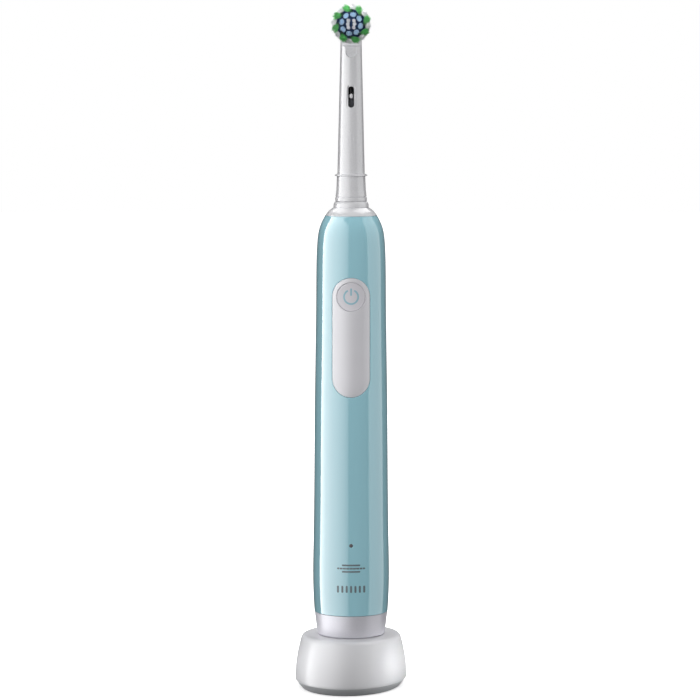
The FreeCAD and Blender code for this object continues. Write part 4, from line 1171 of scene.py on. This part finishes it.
class TOOTHBRUSH_OT_disc(bpy.types.Operator):
    """Round carrier of the bristles, with a thin dark navy disc of painted shade on its face"""
    bl_idname = "toothbrush.disc"
    bl_label = "Bristle carrier"

    def execute(self, context):
        r, back, face = mm(disc_r), mm(-disc_high.y), mm(-disc_low.y)
        outline = [(0, back), (r - 1.0, back, 0.1), (r, back + 0.8, 0.3), (r, face, 0.45), (0, face)]
        place = Matrix.Translation((0, 0, disc_z)) @ along_y
        made = lathe("bristle_carrier", rounded(outline), AROUND, place)
        finish_piece(made, "head", "disc", "head_white", "bristle_disc")
        # the navy disc is painted shade that darkens the carrier's face between the tufts
        bed_r, bed_low, bed_top = 5.9, face - 0.3, face + 0.05
        outline = [(0, bed_low), (bed_r, bed_low), (bed_r, bed_top), (0, bed_top)]
        shade_bed = lathe("painted_shade_disc", outline, AROUND, place)
        finish_piece(shade_bed, "shade_bed", "disc", "bristle_blue")
        return {"FINISHED"}


# ---------------------------------------------------------------- bristles
def bristle_tree():
    """Each vertex is the root of a tuft. The tree spreads filaments over the tuft's foot, leans and splays
    them, cuts them to slightly different lengths, and joins them in one mesh."""
    tree = bpy.data.node_groups.new("tuft_filaments", "GeometryNodeTree")
    face = tree.interface
    face.new_socket("Geometry", in_out="INPUT", socket_type="NodeSocketGeometry")
    for name, kind in (("Filaments", "Int"), ("Thickness", "Float"), ("Uneven", "Float"), ("Jitter", "Float"),
                       ("Bow", "Float"), ("Seed", "Int"), ("Material", "Material")):
        face.new_socket(name, in_out="INPUT", socket_type="NodeSocket" + kind)
    face.new_socket("Geometry", in_out="OUTPUT", socket_type="NodeSocketGeometry")
    given = node(tree, "NodeGroupInput").outputs

    def add(kind, inputs=None, out=0, **settings):
        return node(tree, kind, inputs, **settings).outputs[out]

    # the filaments' feet fill the tuft's oval foot from its middle outwards, a golden angle apart
    copies = node(tree, "GeometryNodeDuplicateElements",
                  {"Geometry": given["Geometry"], "Amount": given["Filaments"]}, domain="POINT")
    index = copies.outputs["Duplicate Index"]
    half_in = add("ShaderNodeMath", {0: index, 1: 0.5}, operation="ADD")
    share = add("ShaderNodeMath", {0: half_in, 1: given["Filaments"]}, operation="DIVIDE")
    out = add("ShaderNodeMath", {0: share}, operation="SQRT")
    angle = add("ShaderNodeMath", {0: index, 1: GOLDEN_ANGLE}, operation="MULTIPLY")
    parts = []
    for key, wave in (("foot_a", "COSINE"), ("foot_b", "SINE")):
        axis = add("GeometryNodeInputNamedAttribute", {"Name": key}, data_type="FLOAT_VECTOR")
        swing = add("ShaderNodeMath", {0: angle}, operation=wave)
        far = add("ShaderNodeMath", {0: out, 1: swing}, operation="MULTIPLY")
        parts.append(add("ShaderNodeVectorMath", {0: axis, "Scale": far}, operation="SCALE"))
    foot = add("ShaderNodeVectorMath", {0: parts[0], 1: parts[1]}, operation="ADD")
    placed = add("GeometryNodeSetPosition", {"Geometry": copies.outputs["Geometry"], "Offset": foot})

    # each leans with its tuft, splays outwards and strays a little, and is cut a little shorter
    seeds = [add("ShaderNodeMath", {0: given["Seed"], 1: step}, operation="ADD") for step in (1, 2, 3)]
    splay = add("GeometryNodeInputNamedAttribute", {"Name": "splay"}, data_type="FLOAT_VECTOR")
    spread = add("ShaderNodeVectorMath", {0: foot, 1: splay}, operation="MULTIPLY")
    stray = add("FunctionNodeRandomValue", {"Min": (-1, -1, -1), "Max": (1, 1, 1), "Seed": seeds[0]},
                data_type="FLOAT_VECTOR")
    stray = add("ShaderNodeVectorMath", {0: stray, "Scale": given["Jitter"]}, operation="SCALE")
    lean = add("GeometryNodeInputNamedAttribute", {"Name": "lean"}, data_type="FLOAT_VECTOR")
    lean = add("ShaderNodeVectorMath", {0: lean, 1: spread}, operation="ADD")
    lean = add("ShaderNodeVectorMath", {0: lean, 1: stray}, operation="ADD")
    short = add("FunctionNodeRandomValue", {"Min_001": 0.0, "Max_001": 1.0, "Seed": seeds[1]}, 1,
                data_type="FLOAT")
    short = add("ShaderNodeMath", {0: short, 1: given["Uneven"]}, operation="MULTIPLY")
    kept = add("ShaderNodeMath", {0: 1.0, 1: short}, operation="SUBTRACT")
    lean = add("ShaderNodeVectorMath", {0: lean, "Scale": kept}, operation="SCALE")
    long = add("ShaderNodeVectorMath", {0: lean}, 1, operation="LENGTH")

    # one filament of length 1: straight up, bowed a little, rounded off at its tip
    line = add("GeometryNodeCurvePrimitiveLine", {"End": (0, 0, 1)})
    line = add("GeometryNodeResampleCurve", {"Curve": line, "Count": 7})
    along = node(tree, "GeometryNodeSplineParameter").outputs["Factor"]
    left = add("ShaderNodeMath", {0: 1.0, 1: along}, operation="SUBTRACT")
    left = add("ShaderNodeMath", {0: left, 1: 3.0}, operation="POWER")
    climb = add("ShaderNodeMath", {0: 1.0, 1: left}, operation="SUBTRACT")
    bowed = add("ShaderNodeMath", {0: climb, 1: climb}, operation="MULTIPLY")
    bowed = add("ShaderNodeMath", {0: bowed, 1: given["Bow"]}, operation="MULTIPLY")
    spot = add("ShaderNodeCombineXYZ", {"X": bowed, "Z": climb})
    line = add("GeometryNodeSetPosition", {"Geometry": line, "Position": spot})
    taper = add("ShaderNodeMapRange", {"Value": left, "From Min": 0.0, "From Max": 0.012,
                                       "To Min": 0.45, "To Max": 1.0})

    # it stands on every foot, turned to its lean and rolled at random, and gets its round skin
    roll = add("FunctionNodeRandomValue", {"Min_001": 0.0, "Max_001": 6.283, "Seed": seeds[2]}, 1,
               data_type="FLOAT")
    aimed = add("FunctionNodeAlignRotationToVector", {"Vector": lean}, axis="Z")
    spin = add("FunctionNodeAxisAngleToRotation", {"Axis": (0, 0, 1), "Angle": roll})
    turn = add("FunctionNodeRotateRotation", {"Rotation": aimed, "Rotate By": spin}, rotation_space="LOCAL")
    size = add("ShaderNodeCombineXYZ", {"X": long, "Y": long, "Z": long})
    stood = add("GeometryNodeInstanceOnPoints", {"Points": placed, "Instance": line, "Rotation": turn,
                                                 "Scale": size})
    real = add("GeometryNodeRealizeInstances", {"Geometry": stood})
    half = add("ShaderNodeMath", {0: given["Thickness"], 1: 0.5}, operation="MULTIPLY")
    ring = add("GeometryNodeCurvePrimitiveCircle", {"Resolution": 6, "Radius": half})
    skin = add("GeometryNodeCurveToMesh", {"Curve": real, "Profile Curve": ring, "Scale": taper,
                                           "Fill Caps": True})
    soft = add("GeometryNodeSetShadeSmooth", {0: skin})
    real = add("GeometryNodeRealizeInstances", {"Geometry": soft})
    dressed = add("GeometryNodeSetMaterial", {"Geometry": real, "Material": given["Material"]})
    node(tree, "NodeGroupOutput", {0: dressed})
    return tree


def polar(r, degrees):
    a = math.radians(degrees)
    return Vector((r * MM * math.cos(a), 0, r * MM * math.sin(a)))


def tuft(root_r, root_deg, tip_r, tip_deg, length, half_a, half_b, splay, turned=0.0):
    """A tuft's root, lean, the two half-axes of its foot, and how much wider it is at its tips."""
    root = polar(root_r, root_deg) + Vector((0, disc_low.y, disc_z))
    tip = polar(tip_r, tip_deg) + Vector((0, disc_low.y - length * MM, disc_z))
    out = polar(1.0, root_deg + turned) / MM
    across = Vector((-out.z, 0, out.x))
    return root, tip - root, out * half_a * MM, across * half_b * MM, Vector((splay, 0, splay))


def make_tufts(name, tufts, filaments, finish, slot_name, node_name, seed, jitter=0.1):
    """Grows the tufts' filaments with the node tree and leaves them as one plain mesh."""
    thickness = bpy.context.scene.toothbrush_sizes.filament
    mesh = bpy.data.meshes.new(name)
    mesh.from_pydata([tuple(t[0]) for t in tufts], [], [])
    for k, key in enumerate(("lean", "foot_a", "foot_b", "splay")):
        layer = mesh.attributes.new(key, "FLOAT_VECTOR", "POINT")
        layer.data.foreach_set("vector", [c for t in tufts for c in t[k + 1]])
    made = bpy.data.objects.new(name, mesh)
    bpy.context.scene.collection.objects.link(made)
    tree = bpy.data.node_groups.get("tuft_filaments") or bristle_tree()
    tool = made.modifiers.new("filaments", "NODES")
    tool.node_group = tree
    values = {"Filaments": filaments, "Thickness": thickness, "Uneven": 0.05, "Jitter": jitter * MM,
              "Bow": 0.03, "Seed": seed, "Material": finishes[finish]}
    for item in tree.interface.items_tree:
        if item.in_out == "INPUT" and item.name in values:
            tool[item.identifier] = values[item.name]
    plain(made)
    if len(made.data.polygons) < 100:
        raise RuntimeError(name + " grew no filaments")
    smooth(made.data, 50.0)
    finish_piece(made, finish, "disc", slot_name, node_name)


class TOOTHBRUSH_OT_bristles(bpy.types.Operator):
    """Tufts of the brush head: crossing outer rings, an inner ring and the middle"""
    bl_idname = "toothbrush.bristles"
    bl_label = "Bristles"

    def execute(self, context):
        full = mm(disc_low.y - tuft_tip_y)
        green = [tuft(4.85, -0.5 + 45 * k, 6.3, 18.5 + 45 * k, full, 0.6, 0.68, 0.95) for k in range(8)]
        make_tufts("green_filaments", green, 110, "green", "bristle_green", "green_tufts", 3, jitter=0.15)
        white = [tuft(6.0, -19.7 + 45 * k, 6.4, -3.0 + 45 * k, full - 0.5, 0.6, 0.66, 0.5) for k in range(8)]
        make_tufts("white_filaments", white, 80, "pale", "bristle_white", "white_tufts", 5)
        blue = [tuft(3.4, 33 + 45 * k, 3.55, 33 + 45 * k, full - 0.6, 0.76, 1.02, 0.06) for k in range(8)]
        make_tufts("blue_filaments", blue, 130, "blue", "bristle_blue", "blue_tufts", 7, jitter=0.04)
        middle = []
        for side in (0, 180):
            for r, step in ((1.6, -51), (1.2, 0), (1.6, 51)):
                middle.append(tuft(r, side + step, r, side + step, full - 0.6, 0.6, 0.62, 0.05, turned=-step))
        make_tufts("middle_filaments", middle, 50, "pale", "bristle_white", "centre_tufts", 9, jitter=0.03)
        return {"FINISHED"}


# ---------------------------------------------------------------- finishes of the inner pieces, and the stage
class TOOTHBRUSH_OT_insides(bpy.types.Operator):
    """Finishes of the drive, the electrics, the seals and the fittings"""
    bl_idname = "toothbrush.insides"
    bl_label = "Inner finishes"

    def execute(self, context):
        for finish, names in cad_finishes.items():
            for name in names:
                nodes[name].data.materials.clear()
                nodes[name].data.materials.append(finishes[finish])
        return {"FINISHED"}


def point_at(made, place, target):
    made.location = place
    made.rotation_euler = (Vector(target) - Vector(place)).to_track_quat("-Z", "Y").to_euler()


class TOOTHBRUSH_OT_stage(bpy.types.Operator):
    """Camera, pale floor and soft studio light"""
    bl_idname = "toothbrush.stage"
    bl_label = "Stage"

    def execute(self, context):
        scene = context.scene
        scene.view_settings.view_transform = "Standard"
        camera = bpy.data.objects.new("camera", bpy.data.cameras.new("camera"))
        camera.data.sensor_width, camera.data.lens = 36.0, 154.09
        camera.data.clip_start, camera.data.clip_end = 0.01, 50.0
        scene.collection.objects.link(camera)
        point_at(camera, (-0.0004, -1.110, 0.2267), (-0.0004, 0.0, 0.126))
        scene.camera = camera
        self.world(scene)
        self.floor(scene)
        # tall boxes that only show as highlights, a broad fill from the left front, low fills for the charger
        self.softbox(scene, "left_box", -58, 0.22, 0.12, (0.52, 0.66), (6.4, 0.7), "glossy")
        self.softbox(scene, "right_box", 85, 0.25, 0.12, (0.28, 0.66), (1.2, 1.2), "glossy")
        self.softbox(scene, "left_fill", -22, 0.5, 0.3, (0.6, 0.5), (1.35, 1.35), "diffuse")
        self.softbox(scene, "right_fill", 100, 0.5, 0.3, (0.6, 0.5), (0.6, 0.6), "diffuse")
        self.softbox(scene, "low_left_fill", -98, 0.14, 0.010, (0.05, 0.014), (0.75, 0.75), "diffuse", 14)
        self.softbox(scene, "low_right_fill", 98, 0.14, 0.010, (0.05, 0.014), (1.2, 1.2), "diffuse", 14)
        self.softbox(scene, "head_spot", 0, 0.4, 0.2495, (0.008, 0.008), (6.5, 6.5), "diffuse", 3)
        self.softbox(scene, "back_fill", 180, 0.9, 0.4, (0.9, 0.8), (1.0, 1.0), "diffuse")
        self.area(scene, "top", (0.9, 0.7), 2.6, (0.0, 0.35, 0.8), (0.0, 0.0, 0.0))
        return {"FINISHED"}

    def world(self, scene):
        """White room: full white to the camera, mid grey as light, and almost dark in reflections."""
        world = bpy.data.worlds.new("studio")
        scene.world = world
        world.use_nodes = True
        tree = world.node_tree
        tree.nodes.clear()
        path = node(tree, "ShaderNodeLightPath")
        room, gloss, white = (node(tree, "ShaderNodeBackground", {"Color": (1.0, 1.0, 1.0, 1.0),
                                                                  "Strength": strength}).outputs[0]
                              for strength in (0.43, 0.08, 1.0))
        lit = node(tree, "ShaderNodeMixShader", {0: path.outputs["Is Glossy Ray"], 1: room, 2: gloss})
        seen = node(tree, "ShaderNodeMixShader", {0: path.outputs["Is Camera Ray"], 1: lit.outputs[0],
                                                  2: white})
        node(tree, "ShaderNodeOutputWorld", {"Surface": seen.outputs[0]})

    def floor(self, scene):
        """White acrylic sheet that a painted glow shows white to the camera away from the object; close to
        the object the glow is weaker, so its shadow shows there.
        """
        mesh = bpy.data.meshes.new("floor")
        ring = [(4.0 * math.cos(a), 4.0 * math.sin(a), 0.0) for a in turns(64)]
        mesh.from_pydata(ring, [], [list(range(len(ring)))])
        floor = bpy.data.objects.new("floor", mesh)
        scene.collection.objects.link(floor)
        material = bpy.data.materials.new("glowing_white_floor")
        material.use_nodes = True
        tree = material.node_tree
        tree.nodes.clear()
        place = node(tree, "ShaderNodeTexCoord").outputs["Object"]
        far = node(tree, "ShaderNodeVectorMath", {0: place}, operation="LENGTH")
        # painted glow: weaker close to the object, full white further out
        painted_glow_fade = node(tree, "ShaderNodeMapRange", {"Value": far.outputs["Value"], "From Min": 0.024,
                                                 "From Max": 0.07, "To Min": 0.45, "To Max": 1.0})
        sheet = node(tree, "ShaderNodeBsdfDiffuse", {"Color": (0.92, 0.92, 0.92, 1.0)})
        glow = node(tree, "ShaderNodeEmission", {"Strength": painted_glow_fade.outputs["Result"]})
        seen = node(tree, "ShaderNodeAddShader", {0: sheet.outputs[0], 1: glow.outputs[0]})
        dim = node(tree, "ShaderNodeBsdfDiffuse", {"Color": (0.15, 0.15, 0.15, 1.0)})
        path = node(tree, "ShaderNodeLightPath")
        both = node(tree, "ShaderNodeMixShader", {0: path.outputs["Is Camera Ray"], 1: dim.outputs[0],
                                                  2: seen.outputs[0]})
        node(tree, "ShaderNodeOutputMaterial", {"Surface": both.outputs[0]})
        mesh.materials.append(material)
        floor.visible_glossy = False
        return floor

    def area(self, scene, name, size, strength, place, target):
        """A light of this width and height, unseen by the camera."""
        light = bpy.data.lights.new(name, "AREA")
        light.shape, light.size, light.size_y = "RECTANGLE", size[0], size[1]
        light.energy = strength * math.pi * size[0] * size[1]
        made = bpy.data.objects.new(name, light)
        made.visible_camera = False
        scene.collection.objects.link(made)
        point_at(made, place, target)
        return made

    def softbox(self, scene, name, azimuth, distance, height, size, glow, shows, spread=180):
        """A soft box that stands at this azimuth: 0 is in front and 90 to the right. Its glow runs evenly
        from its left edge to its right edge, as seen from the object, and it shows as gloss or as diffuse."""
        a = math.radians(azimuth)
        place = (distance * math.sin(a), -distance * math.cos(a), height)
        made = self.area(scene, name, size, 1.0, place, (0.0, 0.0, height))
        made.visible_glossy, made.visible_diffuse = shows == "glossy", shows == "diffuse"
        made.data.spread = math.radians(spread)
        made.data.use_nodes = True
        tree = made.data.node_tree
        tree.nodes.clear()
        spot = node(tree, "ShaderNodeNewGeometry").outputs["Parametric"]
        across = node(tree, "ShaderNodeSeparateXYZ", {"Vector": spot}).outputs["X"]
        fall = node(tree, "ShaderNodeMapRange", {"Value": across, "To Min": glow[0], "To Max": glow[1]})
        shine = node(tree, "ShaderNodeEmission", {"Strength": fall.outputs["Result"]})
        node(tree, "ShaderNodeOutputLight", {"Surface": shine.outputs[0]})


# ---------------------------------------------------------------- the add-on
class TOOTHBRUSH_PT_panel(bpy.types.Panel):
    """Lists the pieces in the 3D view's sidebar"""
    bl_idname = "TOOTHBRUSH_PT_panel"
    bl_label = "Electric toothbrush"
    bl_space_type = "VIEW_3D"
    bl_region_type = "UI"
    bl_category = "Toothbrush"

    def draw(self, context):
        for group in (context.scene.toothbrush_sizes, context.scene.toothbrush_colours):
            for key in group.bl_rna.properties.keys():
                if key not in ("rna_type", "name"):
                    self.layout.prop(group, key)
        for cls in operators:
            self.layout.operator(cls.bl_idname)


operators = [TOOTHBRUSH_OT_stage, TOOTHBRUSH_OT_housing, TOOTHBRUSH_OT_inlay, TOOTHBRUSH_OT_button,
             TOOTHBRUSH_OT_icon, TOOTHBRUSH_OT_light, TOOTHBRUSH_OT_marks, TOOTHBRUSH_OT_nose,
             TOOTHBRUSH_OT_cap, TOOTHBRUSH_OT_charger, TOOTHBRUSH_OT_ring, TOOTHBRUSH_OT_neck,
             TOOTHBRUSH_OT_head_marks, TOOTHBRUSH_OT_ram, TOOTHBRUSH_OT_disc, TOOTHBRUSH_OT_bristles,
             TOOTHBRUSH_OT_insides]
classes = [ToothbrushSizes, ToothbrushColours] + operators + [TOOTHBRUSH_PT_panel]


def register():
    for cls in classes:
        bpy.utils.register_class(cls)
    bpy.types.Scene.toothbrush_sizes = bpy.props.PointerProperty(type=ToothbrushSizes)
    bpy.types.Scene.toothbrush_colours = bpy.props.PointerProperty(type=ToothbrushColours)


def unregister():
    del bpy.types.Scene.toothbrush_colours
    del bpy.types.Scene.toothbrush_sizes
    for cls in reversed(classes):
        bpy.utils.unregister_class(cls)


def main():
    register()
    make_finishes(bpy.context.scene.toothbrush_colours)
    for cls in operators:
        group, call = cls.bl_idname.split(".")
        getattr(getattr(bpy.ops, group), call)()


if __name__ == "__main__":
    main()
